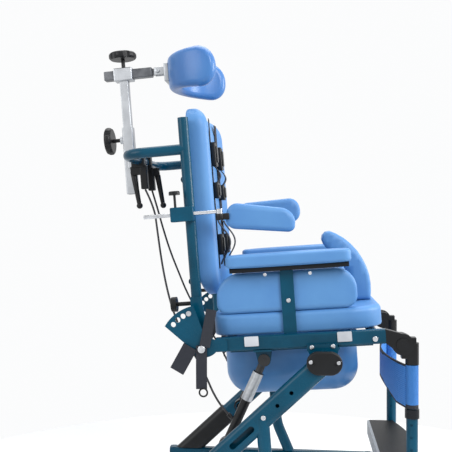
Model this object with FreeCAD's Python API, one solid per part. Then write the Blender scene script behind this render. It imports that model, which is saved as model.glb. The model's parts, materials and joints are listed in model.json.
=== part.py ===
import FreeCAD, Part
import math
import os

V = FreeCAD.Vector

# Driving dimensions in millimetres and degrees.
# X points to the front of the chair, Y to its left side and Z up. The tilt axis is the construction origin.
tilt_axis_height = 500.0
seat_slope = 4.0
back_lean = 4.5
tube_wall = 2.0
fit = 0.3
bolt_radius = 5.0

# Base frame
upright_angle = 43.0
upright_tall = 48.0
upright_wide = 25.0
upright_y = 261.0
upright_reach = 485.0
upright_hole = 4.5
upright_hole_pitch = 42.0
upright_first_hole = 98.0
upright_slot_start = 212.0
upright_slot_length = 70.0
upright_slot_width = 14.0
socket_length = 120.0
socket_wall = 4.0
rail_height = 130.0
base_rail_tall = 32.0
base_rail_wide = 30.0
base_rail_front = 150.0
base_rail_rear = -440.0
strut_radius = 15.0
strut_drop = 150.0
strut_bend = 120.0
strut_top_along = 186.0
cross_radius = 14.0
front_cross_x = 85.0
rear_cross_x = 0.0
cover_length = 78.0
cover_height = 52.0
cover_thick = 8.0

# Castors
wheel_radius = 50.0
tyre_width = 28.0
hub_radius = 36.0
castor_trail = 32.0
castor_inset = 12.0
fork_wall = 5.0
fork_gap = 2.0
castor_axle_radius = 5.0
castor_stem_radius = 8.0
fork_back = 36.0
pedal_hinge_x = -30.0
pedal_pin_radius = 2.0
pedal_length = 50.0
pedal_half_width = 20.0

# Seat frame
seat_rail_tall = 32.0
seat_rail_wide = 22.0
seat_rail_y = 223.0
seat_rail_z = 45.0
seat_rail_rear = -240.0
seat_rail_front = 139.0
seat_tube_radius = 11.0
seat_cross_inset = 22.0
bracket_thick = 8.0
hinge_x = -272.0
hinge_z = 40.0
quadrant_thick = 5.0
quadrant_hole_radius = 85.0
quadrant_edge = 14.0
quadrant_hole = 6.0
quadrant_step = 10.0
quadrant_first = 17.0
clip_length = 32.0
clip_height = 22.0
clip_thick = 3.0
rear_clip_x = -159.0
front_clip_x = 49.0

# Seat cushions
seat_thick = 49.0
seat_half_width = 207.0
seat_rear = -247.0
seat_front = 141.0
seat_rear_corner = 38.0
seat_front_corner = 72.0
aperture_length = 235.0
aperture_width = 190.0
aperture_centre = -70.0
panel_thick = 22.0
panel_rear = -236.0
panel_front = 86.0
panel_height = 93.0
guard_width = 116.0
guard_height = 174.0
guard_reach = 112.0
guard_thick = 44.0
guard_round = 10.0

# Commode pan
pan_rear = -234.0
pan_front = 80.0
pan_half_width = 132.0
pan_depth = 116.0
pan_rim = 14.0
pan_wall = 3.0
pan_rim_z = 20.0
pan_corner = 60.0
runner_thick = 3.0

# Arm rests
arm_pad_length = 282.0
arm_pad_width = 58.0
arm_pad_thick = 28.0
arm_pad_corner = 20.0
arm_pad_round = 9.0
arm_pad_rear = -206.0
arm_top = 245.0
arm_y = 222.0
arm_bar_thick = 12.0
arm_bar_width = 30.0
arm_post_x = -71.0
arm_post_width = 30.0
arm_post_thick = 7.0

# Gas springs
gas_y = 186.0
gas_top_x = -136.0
gas_top_z = 0.0
gas_cylinder_radius = 11.0
gas_rod_radius = 5.0
gas_cylinder_length = 110.0
gas_rod_inside = 50.0
gas_eye_radius = 11.0
gas_pin_radius = 4.0
gas_pin_room = 7.0
gas_washer_radius = 14.0
gas_lean = 66.0
anchor_radius = 12.5
anchor_inside = 16.0
cable_lug_along = 58.0
sleeve_lap = 12.0
lug_radius = 5.0
lug_length = 14.0

# Reclining back
post_radius = 12.5
post_y = 184.0
post_u = -12.0
post_top = 535.0
post_foot = 30.0
arm_plate_thick = 6.0
back_pad_bottom = 112.0
back_pad_top = 564.0
back_pad_half = 165.0
back_pad_rear = -10.0
back_pad_thick = 40.0
back_wing = 12.0
back_bar_heights = (150.0, 390.0)
handle_radius = 12.5
handle_u = -158.0
handle_w = 461.0
handle_bend = 45.0
back_bar_radius = 9.0

# Headrest
socket_half = 14.0
socket_gap = 3.0
socket_edge = 3.0
socket_bottom = 378.0
socket_top = 552.0
head_post_half = 11.0
head_clamp_w = 691.0
head_bar_side = 24.0
head_bar_rear = -239.0
head_hinge_u = -96.0
post_knob_w = 521.0
clamp_wall = 5.0
clamp_length = 50.0
knob_radius = 36.0
knob_thick = 18.0
knob_stem = 5.0
knob_gap = 23.0
head_half_width = 118.0
head_height = 108.0
head_drop = 23.0
head_thick = 36.0
head_corner_share = 0.46
head_rear = -68.0
head_wing = 100.0

# Lateral supports
lateral_w = 308.0
lateral_rod_radius = 4.5
lateral_rod_y = 206.0
lateral_rod_rear = -118.0
lateral_rod_front = 52.0
lateral_block_length = 54.0
lateral_block_rear = -54.0
lateral_block_height = 34.0
lateral_pad_length = 160.0
lateral_pad_height = 66.0
lateral_pad_thick = 24.0
lateral_pad_y = 180.0
plunger_radius = 13.0
plunger_stem = 3.0
lateral_pad_round = 7.0
lateral_pad_dips = {"right": 9.0, "left": 0.0}

# Release levers
lever_y = 42.0
lever_drop = 86.0
lever_ball = 8.0
lever_root = 6.5
lever_neck = 4.5
lever_pivots = {"right": -28.0, "left": 17.0}
lever_splay = 10.0
hood_forward = 13.0
hood_half = 9.0

# Back clamp knobs
back_knob_w = 99.0
back_knob_radius = 17.5
back_knob_thick = 14.0
back_knob_u = -66.0

# Leg rest
leg_hub_x = 175.0
leg_hub_z = 25.0
leg_hub_radius = 24.0
leg_x = 197.0
leg_y = 200.0
leg_inner_y = 188.0
leg_hole = 3.0
leg_hole_pitch = 28.0
leg_tube_radius = 11.0
leg_tube_foot = -215.0
lower_tube_radius = 13.0
lower_tube_top = -122.0
collar_radius = 16.0
collar_length = 20.0
band_top = -13.0
band_bottom = -110.0
band_thick = 5.0
band_sleeve = 15.0
band_bow = 34.0
footplate_top = -240.0
footplate_thick = 12.0
footplate_rear = 128.0
footplate_front = 228.0
footplate_bow = 30.0
footplate_lip = 34.0
foot_pin = 6.0

# Straps and cables
strap_width = 25.0
strap_thick = 2.4
harness_y = 62.0
harness_low = 170.0
harness_high = 545.0
belt_drop = 90.0
cable_radius = 2.5
cable_tail = 26.0
# Places along each release cable, as shares of its reach, its spread and its drop
cable_shares = (
    (0.88, 0.96, 0.91),
    (0.83, 0.87, 0.80),
    (0.77, 0.74, 0.68),
    (0.70, 0.58, 0.57),
    (0.61, 0.40, 0.46),
    (0.50, 0.24, 0.36),
    (0.36, 0.12, 0.26),
    (0.18, 0.05, 0.16),
)

floor_z = -tilt_axis_height


def turned(shape, angle, at=V(0, 0, 0)):
    copy = shape.copy()
    copy.rotate(at, V(0, -1, 0), angle)
    return copy


def moved(shape, x=0.0, y=0.0, z=0.0):
    copy = shape.copy()
    copy.translate(V(x, y, z))
    return copy


def mirrored(shape):
    return shape.mirror(V(0, 0, 0), V(0, 1, 0))


def pair(shape):
    return Part.makeCompound([shape, mirrored(shape)])


def rod(start, end, radius):
    axis = end - start
    return Part.makeCylinder(radius, axis.Length, start, axis)


def box(x0, x1, y0, y1, z0, z1):
    return Part.makeBox(x1 - x0, y1 - y0, z1 - z0, V(x0, y0, z0))


def rounded_box(x0, x1, y0, y1, z0, z1, radius):
    solid = box(x0, x1, y0, y1, z0, z1)
    return solid.makeFillet(radius, solid.Edges)


def edges_along(shape, direction):
    found = []
    for edge in shape.Edges:
        if len(edge.Vertexes) == 2:
            span = edge.Vertexes[1].Point - edge.Vertexes[0].Point
            if span.Length > 0 and abs(span.normalize().dot(direction)) > 0.999:
                found.append(edge)
    return found


def bent_path(points, radius):
    # Straight runs joined by tangent arcs of one radius.
    edges = []
    last = points[0]
    for i in range(1, len(points) - 1):
        corner = points[i]
        back = (points[i - 1] - corner).normalize()
        ahead = (points[i + 1] - corner).normalize()
        half = back.getAngle(ahead) / 2
        cut = radius / math.tan(half)
        first = corner + back * cut
        second = corner + ahead * cut
        middle_way = (back + ahead).normalize()
        middle = corner + middle_way * (radius / math.sin(half) - radius)
        edges.append(Part.LineSegment(last, first).toShape())
        edges.append(Part.Arc(first, middle, second).toShape())
        last = second
    edges.append(Part.LineSegment(last, points[-1]).toShape())
    return Part.Wire(edges)


def swept_round(points, bend, radius):
    path = bent_path(points, bend)
    start = points[0]
    ring = Part.Wire([Part.makeCircle(radius, start, points[1] - points[0])])
    return Part.Solid(path.makePipeShell([ring], True, False))


def bent_tube(points, bend, radius, wall):
    return swept_round(points, bend, radius).cut(swept_round(points, bend, radius - wall))


def straight_tube(start, end, radius, wall):
    return rod(start, end, radius).cut(rod(start, end, radius - wall))


def oval_face(tall, wide):
    # A flat-sided oval across the X axis: tall in Z, wide in Y, round at both ends.
    r = wide / 2
    flat = tall / 2 - r
    edges = [
        Part.LineSegment(V(0, r, -flat), V(0, r, flat)).toShape(),
        Part.Arc(V(0, r, flat), V(0, 0, flat + r), V(0, -r, flat)).toShape(),
        Part.LineSegment(V(0, -r, flat), V(0, -r, -flat)).toShape(),
        Part.Arc(V(0, -r, -flat), V(0, 0, -flat - r), V(0, r, -flat)).toShape(),
    ]
    return Part.Face(Part.Wire(edges))


def upright_bar(start, end, tall, wide, y):
    # A bar along the line of the upright, which runs down and back from the tilt axis.
    bar = moved(oval_face(tall, wide), -start, y).extrude(V(start - end, 0, 0))
    return turned(bar, upright_angle)


def on_upright(along, across, y):
    point = V(-along, y, across)
    turn = FreeCAD.Rotation(V(0, -1, 0), upright_angle)
    return turn.multVec(point)


def outline(points):
    # A closed outline: a plain point ends a straight run, a pair is (middle, end) of an arc.
    edges = []
    last = points[0]
    for item in points[1:]:
        if isinstance(item, tuple):
            edges.append(Part.Arc(last, item[0], item[1]).toShape())
            last = item[1]
        else:
            edges.append(Part.LineSegment(last, item).toShape())
            last = item
    if (last - points[0]).Length > 0.001:
        edges.append(Part.LineSegment(last, points[0]).toShape())
    return Part.Face(Part.Wire(edges))


def rounded_plate(x0, x1, z0, z1, corner, y0, y1):
    # A plate in the XZ plane with rounded corners, between two Y values.
    plate = box(x0, x1, y0, y1, z0, z1)
    return plate.makeFillet(corner, edges_along(plate, V(0, 1, 0)))


def softened(shape, radius, faces):
    # Rounds every edge of the given faces of a pad.
    edges = []
    for face in faces:
        edges.extend(face.Edges)
    return shape.makeFillet(radius, edges)


def y_faces(shape):
    found = []
    for face in shape.Faces:
        if face.Surface.TypeId == "Part::GeomPlane":
            if abs(face.normalAt(0, 0).y) > 0.99:
                found.append(face)
    return found


def z_faces(shape):
    found = []
    for face in shape.Faces:
        if face.Surface.TypeId == "Part::GeomPlane":
            if abs(face.normalAt(0, 0).z) > 0.99:
                found.append(face)
    return found


nodes = {}

# Base: uprights with their spare holes and slot
upright_inner_y = upright_y - upright_wide / 2
upright_outer_y = upright_y + upright_wide / 2
upright = upright_bar(0, upright_reach, upright_tall, upright_wide, upright_y)
bore = upright_bar(
    upright_tall / 2,
    upright_reach,
    upright_tall - 2 * tube_wall,
    upright_wide - 2 * tube_wall,
    upright_y,
)
upright = upright.cut(bore)
head = rod(V(0, upright_inner_y, 0), V(0, upright_outer_y, 0), upright_tall / 2)
upright = upright.fuse(head).removeSplitter()
for i in range(2):
    hole_at = upright_first_hole + i * upright_hole_pitch
    upright = upright.cut(
        rod(
            on_upright(hole_at, 0, upright_y), on_upright(hole_at, 0, upright_outer_y + 1), upright_hole
        )
    )
slot_end = upright_slot_start + upright_slot_length
slot = rounded_plate(
    -slot_end,
    -upright_slot_start,
    -upright_slot_width / 2,
    upright_slot_width / 2,
    upright_slot_width / 2 - 0.1,
    upright_y,
    upright_outer_y + 1,
)
upright = upright.cut(turned(slot, upright_angle))
pivot_hole = rod(V(0, upright_inner_y - 1, 0), V(0, upright_outer_y + 1, 0), bolt_radius + 0.05)
upright = upright.cut(pivot_hole)

# Base: floor rails, upright sockets, struts and cross tubes
rail_z = floor_z + rail_height
rail_top = rail_z + base_rail_tall / 2
rail_half = base_rail_tall / 2
base_rail = box(
    base_rail_rear,
    base_rail_front,
    upright_y - base_rail_wide / 2,
    upright_y + base_rail_wide / 2,
    rail_z - rail_half,
    rail_top,
)
base_rail = base_rail.makeFillet(8, edges_along(base_rail, V(1, 0, 0)))
rail_bore = box(
    base_rail_rear + 2 * tube_wall,
    base_rail_front - 2 * tube_wall,
    upright_y - base_rail_wide / 2 + tube_wall,
    upright_y + base_rail_wide / 2 - tube_wall,
    rail_z - rail_half + tube_wall,
    rail_top - tube_wall,
)
base_rail = base_rail.cut(rail_bore)
castor_x = {"front": base_rail_front - castor_inset, "rear": base_rail_rear + castor_inset}
above_rail = box(-900, 400, 0, 400, rail_top, 400)
for x in castor_x.values():
    boss = rod(V(x, upright_y, rail_z - rail_half), V(x, upright_y, rail_top), castor_stem_radius + 4)
    base_rail = base_rail.fuse(boss)
    hole = rod(
        V(x, upright_y, rail_z - rail_half), V(x, upright_y, rail_z + 10), castor_stem_radius + 0.05
    )
    base_rail = base_rail.cut(hole)
socket_end = upright_reach + 120
socket = upright_bar(
    upright_reach - socket_length,
    socket_end,
    upright_tall + 2 * socket_wall,
    upright_wide + 2 * socket_wall,
    upright_y,
)
socket_core = upright_bar(
    upright_reach - socket_length - 1, upright_reach, upright_tall, upright_wide, upright_y
)
socket = socket.cut(socket_core).common(above_rail)

strut_top = on_upright(strut_top_along, 0, upright_y)
strut_corner = V(strut_top.x + 12, upright_y, strut_top.z - strut_drop)
strut_foot = V(strut_corner.x + 40, upright_y, rail_z)
strut = bent_tube([strut_top, strut_corner, strut_foot], strut_bend, strut_radius, tube_wall)
strut = strut.cut(upright_bar(0, upright_reach, upright_tall, upright_wide, upright_y))
strut = strut.common(above_rail)

rail_inner_y = upright_y - base_rail_wide / 2
cross_tubes = []
for x in (front_cross_x, rear_cross_x):
    cross_tubes.append(
        straight_tube(V(x, -rail_inner_y, rail_z), V(x, rail_inner_y, rail_z), cross_radius, tube_wall)
    )

# Base: the covers over the tilt pivots
cover = moved(oval_face(cover_length, cover_height), 0)
cover.rotate(V(0, 0, 0), V(0, 0, 1), 90)
cover.rotate(V(0, 0, 0), V(0, 1, 0), 90)
cover = moved(cover, 0, upright_outer_y).extrude(V(0, cover_thick, 0))
cover_rim = [e for e in cover.Edges if e.BoundBox.YMin > upright_outer_y + cover_thick - 0.1]
cover = cover.makeFillet(4, cover_rim)
for side in (-1, 1):
    screw_x = side * (cover_length - cover_height + 4) / 2 * 1.6
    cover = cover.cut(
        rod(V(screw_x, upright_outer_y + cover_thick - 2, 0), V(screw_x, upright_outer_y + 20, 0), 3.5)
    )

nodes["base_uprights"] = pair(upright)
nodes["upright_sockets"] = pair(socket)
nodes["base_rails"] = pair(base_rail)
nodes["base_struts"] = pair(strut)
nodes["pivot_covers"] = pair(cover)


# Castors, modelled about their stem axis with the floor at zero
fork_half = tyre_width / 2 + fork_gap
fork_outer = fork_half + fork_wall
crown_top = rail_height - base_rail_tall / 2
crown_bottom = wheel_radius * 2 + 4
pedal_z = crown_bottom + 1


def castor_fork(braked):
    # Two cheeks under a round crown, with the stem above, the axle below and the pedal's pin on a braked one.
    r = wheel_radius
    axle_x = -castor_trail
    cheek = outline([
        V(-fork_back, 0, crown_bottom + 4),
        V(20, 0, crown_bottom + 4),
        V(20, 0, crown_bottom - 16),
        V(axle_x + 11, 0, r - 2),
        (V(axle_x, 0, r - 12), V(axle_x - 11, 0, r + 2)),
    ])
    fork = rod(V(0, 0, crown_bottom), V(0, 0, crown_top - 1), fork_outer + 2)
    for side in (-1, 1):
        inner = side * fork_half
        fork = fork.fuse(moved(cheek, 0, inner).extrude(V(0, side * fork_wall, 0)))
    axle_half = fork_outer + 4
    axle = rod(V(axle_x, -axle_half, r), V(axle_x, axle_half, r), castor_axle_radius)
    stem = rod(V(0, 0, crown_top - 2), V(0, 0, rail_height + 8), castor_stem_radius)
    fork = fork.fuse(axle).fuse(stem)
    if braked:
        pin = rod(
            V(pedal_hinge_x, -fork_outer, pedal_z),
            V(pedal_hinge_x, fork_outer, pedal_z),
            pedal_pin_radius,
        )
        fork = fork.fuse(pin)
    return fork.removeSplitter()


def castor_wheel():
    # A rounded tyre on a dished hub, turned about the axle.
    half = tyre_width / 2
    bore = castor_axle_radius + 0.05
    r = wheel_radius
    tyre = outline([
        V(0, -half, hub_radius),
        V(0, -half, r - 10),
        (V(0, -half * 0.6, r - 2), V(0, 0, r)),
        (V(0, half * 0.6, r - 2), V(0, half, r - 10)),
        V(0, half, hub_radius),
    ])
    hub = outline([
        V(0, -half, bore),
        V(0, -half, 12),
        V(0, -5, 15),
        V(0, -5, hub_radius - 6),
        V(0, -half + 2, hub_radius),
        V(0, half - 2, hub_radius),
        V(0, 5, hub_radius - 6),
        V(0, 5, 15),
        V(0, half, 12),
        V(0, half, bore),
    ])
    rings = []
    for face in (tyre, hub):
        ring = face.revolve(V(0, 0, 0), V(0, 1, 0), 360)
        rings.append(moved(ring, -castor_trail, 0, r))
    return Part.makeCompound(rings)


def castor_brake():
    # A foot pedal hinged between the fork's cheeks, with its tread turned up at the end.
    far = pedal_hinge_x - pedal_length
    near = -fork_back - 2
    low = pedal_z - 2
    high = pedal_z + 2
    tread = box(far, near, -pedal_half_width, pedal_half_width, low, high)
    neck = box(near - 2, pedal_hinge_x, 3 - fork_half, fork_half - 3, low, high)
    lip = box(far - 4, far + 1, -pedal_half_width, pedal_half_width, low, high + 5)
    barrel = rod(
        V(pedal_hinge_x, 1 - fork_half, pedal_z), V(pedal_hinge_x, fork_half - 1, pedal_z), 3.5
    )
    pin = rod(
        V(pedal_hinge_x, -fork_half, pedal_z),
        V(pedal_hinge_x, fork_half, pedal_z),
        pedal_pin_radius + 0.05,
    )
    return tread.fuse(neck).fuse(lip).fuse(barrel).cut(pin).removeSplitter()


castors = {}
for end, x in castor_x.items():
    for side, y in (("right", -upright_y), ("left", upright_y)):
        corner = end + "_" + side
        castors[corner] = V(x, y, floor_z)
        nodes["castor_fork_" + corner] = moved(castor_fork(end == "rear"), x, y, floor_z)
        nodes["castor_wheel_" + corner] = moved(castor_wheel(), x, y, floor_z)
        if end == "rear":
            nodes["castor_brake_" + corner] = moved(castor_brake(), x, y, floor_z)


# Seat pieces are modelled level, then turned by the seat's slope about the tilt axis
def seat_node(name, shape):
    nodes[name] = turned(shape, seat_slope)


rail_low = seat_rail_z - seat_rail_tall / 2
rail_high = seat_rail_z + seat_rail_tall / 2
rail_in = seat_rail_y - seat_rail_wide / 2
rail_out = seat_rail_y + seat_rail_wide / 2
seat_rail = box(seat_rail_rear, seat_rail_front, rail_in, rail_out, rail_low, rail_high)
seat_rail = seat_rail.makeFillet(5, edges_along(seat_rail, V(1, 0, 0)))
seat_rail = seat_rail.cut(
    box(
        seat_rail_rear + tube_wall,
        seat_rail_front - tube_wall,
        rail_in + tube_wall,
        rail_out - tube_wall,
        rail_low + tube_wall,
        rail_high - tube_wall,
    )
)
seat_node("seat_rails", pair(seat_rail))

# Cross members with the runners that the pan hangs on
runner_y = pan_half_width + pan_rim
members = []
rear_member_x = seat_rail_rear + seat_cross_inset
front_member_x = seat_rail_front - seat_cross_inset
for x in (rear_member_x, front_member_x):
    members.append(
        straight_tube(
            V(x, -rail_in, seat_rail_z), V(x, rail_in, seat_rail_z), seat_tube_radius, tube_wall
        ),
    )
member_low = seat_rail_z - seat_tube_radius
for side in (-1, 1):
    wall = box(
        rear_member_x,
        front_member_x,
        runner_y + 1,
        runner_y + 1 + runner_thick,
        pan_rim_z - 7,
        member_low + 4,
    )
    shelf = box(
        rear_member_x,
        front_member_x,
        runner_y - pan_rim + 5,
        runner_y + 2,
        pan_rim_z - 7,
        pan_rim_z - 7 + runner_thick,
    )
    runner = wall.fuse(shelf)
    for x in (rear_member_x, front_member_x):
        runner = runner.cut(
            rod(V(x, -rail_in, seat_rail_z), V(x, rail_in, seat_rail_z), seat_tube_radius)
        )
    if side < 0:
        runner = mirrored(runner)
    members.append(runner)
seat_node("seat_cross_members", Part.makeCompound(members))

# Pivot brackets under the rails, each with its pivot bolt, and the ears of the gas springs
bracket_out = upright_inner_y - 0.5
bracket_in = bracket_out - bracket_thick
bracket = outline([
    V(-36, bracket_in, rail_low),
    V(36, bracket_in, rail_low),
    V(20, bracket_in, -14),
    (V(0, bracket_in, -24), V(-20, bracket_in, -14)),
]).extrude(V(0, bracket_thick, 0))
wing = box(-36, 32, rail_out, bracket_out, rail_low, rail_low + 8)
foot = box(-36, 36, rail_in, bracket_out, rail_low - 5, rail_low)
pivot_bolt = rod(V(0, bracket_in, 0), V(0, upright_outer_y, 0), bolt_radius)
bracket = bracket.fuse(wing).fuse(foot).fuse(pivot_bolt)
ears = []
ear_gap = gas_eye_radius - 1
for y in (gas_y - ear_gap - 4, gas_y + ear_gap):
    ear = outline([
        V(gas_top_x - 20, y, rail_low),
        V(gas_top_x + 20, y, rail_low),
        V(gas_top_x + 14, y, gas_top_z - 6),
        (V(gas_top_x, y, gas_top_z - 15), V(gas_top_x - 14, y, gas_top_z - 6)),
    ]).extrude(V(0, 4, 0))
    hole = rod(
        V(gas_top_x, y - 1, gas_top_z), V(gas_top_x, y + 5, gas_top_z), gas_pin_radius + gas_pin_room
    )
    ears.append(ear.cut(hole))
ear_plate = box(gas_top_x - 20, gas_top_x + 20, gas_y - ear_gap - 4, rail_out, rail_low - 4, rail_low)
gas_bracket = ear_plate.fuse(ears[0]).fuse(ears[1])
seat_node(
    "seat_brackets", Part.makeCompound([bracket, mirrored(bracket), gas_bracket, mirrored(gas_bracket)])
)

# Recline quadrants on the outer faces of the rails, with an index hole every ten degrees
hinge_point = V(hinge_x, 0, hinge_z)


def around_hinge(radius, angle, y):
    # A point behind the hinge, at an angle back from the square to the seat.
    a = math.radians(angle)
    return V(hinge_x - radius * math.sin(a), y, hinge_z + radius * math.cos(a))


plate_in = rail_out + 0.2
plate_out = plate_in + quadrant_thick
first = quadrant_first
last = first + 3 * quadrant_step
rim = quadrant_hole_radius + quadrant_edge
eye = 20.0
quadrant = outline([
    around_hinge(rim, first - 9, plate_in),
    (around_hinge(rim, (first + last) / 2, plate_in), around_hinge(rim, last + 9, plate_in)),
    around_hinge(eye * 1.6, last + 30, plate_in),
    (around_hinge(eye, 180, plate_in), V(seat_rail_rear, plate_in, rail_low + 2)),
    V(seat_rail_rear + 26, plate_in, rail_low + 2),
    V(seat_rail_rear + 26, plate_in, rail_high - 2),
    V(seat_rail_rear - 4, plate_in, rail_high - 2),
    around_hinge(eye * 1.7, -10, plate_in),
]).extrude(V(0, quadrant_thick, 0))
for i in range(1, 4):
    centre = around_hinge(quadrant_hole_radius, first + i * quadrant_step, plate_in)
    quadrant = quadrant.cut(
        rod(centre - V(0, 1, 0), centre + V(0, quadrant_thick + 1, 0), quadrant_hole)
    )
quadrant = quadrant.cut(
    rod(V(hinge_x, plate_in - 1, hinge_z), V(hinge_x, plate_out + 1, hinge_z), bolt_radius + fit)
)
seat_node("hinge_quadrants", pair(quadrant))

# Hinge bolts: a head outside, a shank, and the spacer that keeps the back's plates inside the rails
arm_plate_in = post_y + post_radius
arm_plate_out = arm_plate_in + arm_plate_thick
shank = rod(V(hinge_x, arm_plate_in - 4, hinge_z), V(hinge_x, plate_out, hinge_z), bolt_radius)
bolt_head = rod(V(hinge_x, plate_out, hinge_z), V(hinge_x, plate_out + 5, hinge_z), 9.5)
spacer = rod(V(hinge_x, arm_plate_out + fit, hinge_z), V(hinge_x, plate_in, hinge_z), 11)
index_screw_at = around_hinge(quadrant_hole_radius, first, plate_out)
hinge_bolt = shank.fuse(bolt_head).fuse(spacer).removeSplitter()
index_screw = rod(index_screw_at, index_screw_at + V(0, 3, 0), quadrant_hole)
seat_node(
    "hinge_bolts",
    Part.makeCompound([hinge_bolt, mirrored(hinge_bolt), index_screw, mirrored(index_screw)]),
)

# Saddle clips over the rails
clips = []
for x in (rear_clip_x, front_clip_x):
    grip = box(
        x - clip_length / 2,
        x + clip_length / 2,
        rail_out + 0.1,
        rail_out + clip_thick,
        rail_high - clip_height,
        rail_high,
    )
    grip = grip.makeFillet(2, edges_along(grip, V(0, 1, 0)))
    clips.append(grip)
    clips.append(mirrored(grip))
seat_node("rail_clips", Part.makeCompound(clips))

# Commode seat: rounded slab with an open aperture and a raised rear edge
seat_low = rail_high + 0.2
seat_top = seat_low + seat_thick
slab = box(seat_rear, seat_front, -seat_half_width, seat_half_width, seat_low, seat_top)
for place, radius in ((seat_rear, seat_rear_corner), (seat_front, seat_front_corner)):
    corners = [e for e in edges_along(slab, V(0, 0, 1)) if abs(e.CenterOfMass.x - place) < 0.01]
    slab = slab.makeFillet(radius, corners)
slab = softened(slab, 16, [f for f in z_faces(slab) if f.CenterOfMass.z > seat_low + 1])
well = box(
    aperture_centre - aperture_length / 2,
    aperture_centre + aperture_length / 2,
    -aperture_width / 2,
    aperture_width / 2,
    seat_low - 1,
    seat_top + 1,
)
well = well.makeFillet(aperture_width * 0.46, edges_along(well, V(0, 0, 1)))
slab = slab.cut(well)
lip_reach = aperture_width / 2 + 1
lips = [e for e in slab.Edges if e.BoundBox.ZMin > seat_top - 0.01 and abs(e.CenterOfMass.y) < lip_reach]
slab = slab.makeFillet(12, lips)
seat_node("seat_pad", slab)

# Side panels that stand on the seat's edges, swept up and rounded at both ends
panel_in = seat_half_width - panel_thick
panel_low = seat_top + fit
panel_top = panel_low + panel_height
panel = outline([
    V(panel_rear, panel_in, panel_low + 22),
    (V(panel_rear + 6, panel_in, panel_low + 7), V(panel_rear + 20, panel_in, panel_low)),
    V(panel_front - 26, panel_in, panel_low),
    (V(panel_front - 7, panel_in, panel_low + 9), V(panel_front, panel_in, panel_low + 28)),
    (V(panel_front - 9, panel_in, panel_top - 26), V(panel_front - 36, panel_in, panel_top)),
    V(panel_rear + 40, panel_in, panel_top),
    (V(panel_rear + 11, panel_in, panel_top - 26), V(panel_rear, panel_in, panel_low + 22)),
]).extrude(V(0, panel_thick, 0))
panel = softened(panel, 7, y_faces(panel))
seat_node("side_panels", pair(panel))

# Splash guard: a horn that rises from the front of the seat and curls back
guard_low = seat_top + fit
guard_high = guard_low + guard_height
guard_front = seat_front - 12
guard_back = guard_front - guard_reach


def guard_section(y, inset):
    # The horn's side outline at one Y, drawn in by the inset all round except at its foot.
    front = guard_front - inset
    top = guard_high - inset
    tip = guard_back + inset
    inner = inset * 0.7
    face = outline([
        V(guard_front - 64 + inner, y, guard_low),
        V(front - 3, y, guard_low),
        (V(front, y, guard_low + 40), V(front - 7, y, guard_low + 80)),
        (V(front - 34, y, guard_low + 130 - inset * 0.5), V(guard_front - 90, y, top)),
        (V(tip + 6, y, top - 6), V(tip, y, top - 20)),
        V(tip + 12, y, guard_high - guard_thick + inner),
        (
            V(guard_front - 60 + inner, y, guard_low + 84 + inner),
            V(guard_front - 50 + inner, y, guard_low + 50),
        ),
    ])
    return face.OuterWire


guard_half = guard_width / 2
guard_stations = (
    (-guard_half, guard_round),
    (-guard_half + guard_round * 0.5, guard_round * 0.35),
    (-guard_half + guard_round * 1.6, 0.0),
    (guard_half - guard_round * 1.6, 0.0),
    (guard_half - guard_round * 0.5, guard_round * 0.35),
    (guard_half, guard_round),
)
guard = Part.makeLoft([guard_section(y, inset) for y, inset in guard_stations], True, True)
seat_node("splash_guard", guard)

# Commode pan: a drawn bowl with a flat rim that slides on the runners
rim_edge = pan_half_width + pan_rim


def pan_shell(grow):
    floor_level = pan_rim_z - pan_depth - grow
    shape = box(
        pan_rear - grow,
        pan_front + grow,
        -pan_half_width - grow,
        pan_half_width + grow,
        floor_level,
        pan_rim_z,
    )
    shape = shape.makeFillet(pan_corner + grow, edges_along(shape, V(0, 0, 1)))
    bottom = [f for f in z_faces(shape) if f.CenterOfMass.z < floor_level + 1]
    return softened(shape, pan_corner + grow - 4, bottom)


pan = pan_shell(pan_wall)
brim = box(
    pan_rear - pan_rim, pan_front + pan_rim, -rim_edge, rim_edge, pan_rim_z - pan_wall, pan_rim_z
)
brim = brim.makeFillet(pan_corner + pan_rim, edges_along(brim, V(0, 0, 1)))
pan = pan.fuse(brim).cut(pan_shell(0)).removeSplitter()
seat_node("commode_pan", pan)

# Arm rests: a flat post that stands in a socket on the rail, a bar, and a rounded pad
arm_pad_low = arm_top - arm_pad_thick
arm_bar_low = arm_pad_low - arm_bar_thick
arm_end = arm_pad_rear + arm_pad_length
post_low = rail_high + fit
for side, name in ((-1, "right"), (1, "left")):
    bar = box(
        arm_pad_rear + 8,
        arm_end - 6,
        arm_y - arm_bar_width / 2,
        arm_y + arm_bar_width / 2,
        arm_bar_low,
        arm_pad_low,
    )
    bar = bar.makeFillet(4, edges_along(bar, V(1, 0, 0)))
    stay = box(
        arm_post_x - arm_post_width / 2,
        arm_post_x + arm_post_width / 2,
        seat_half_width + 1,
        seat_half_width + 1 + arm_post_thick,
        post_low,
        arm_bar_low + 2,
    )
    support = bar.fuse(stay).removeSplitter()
    cushion = box(
        arm_pad_rear,
        arm_end,
        arm_y - arm_pad_width / 2,
        arm_y + arm_pad_width / 2,
        arm_pad_low,
        arm_top,
    )
    cushion = cushion.makeFillet(arm_pad_corner, edges_along(cushion, V(0, 0, 1)))
    cushion = softened(
        cushion, arm_pad_round, [f for f in z_faces(cushion) if f.CenterOfMass.z > arm_top - 1]
    )
    if side < 0:
        support = mirrored(support)
        cushion = mirrored(cushion)
    seat_node("arm_support_" + name, support)
    seat_node("arm_pad_" + name, cushion)

# Gas springs between the base's anchor tube and the seat's ears
seat_turn = FreeCAD.Rotation(V(0, -1, 0), seat_slope)
gas_top = seat_turn.multVec(V(gas_top_x, 0, gas_top_z))
gas_way = V(math.cos(math.radians(gas_lean)), 0, math.sin(math.radians(gas_lean)))
upright_slope = math.tan(math.radians(upright_angle))
gas_length = (gas_top.z - upright_slope * gas_top.x) / (gas_way.z - upright_slope * gas_way.x)
gas_foot = gas_top - gas_way * gas_length


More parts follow.
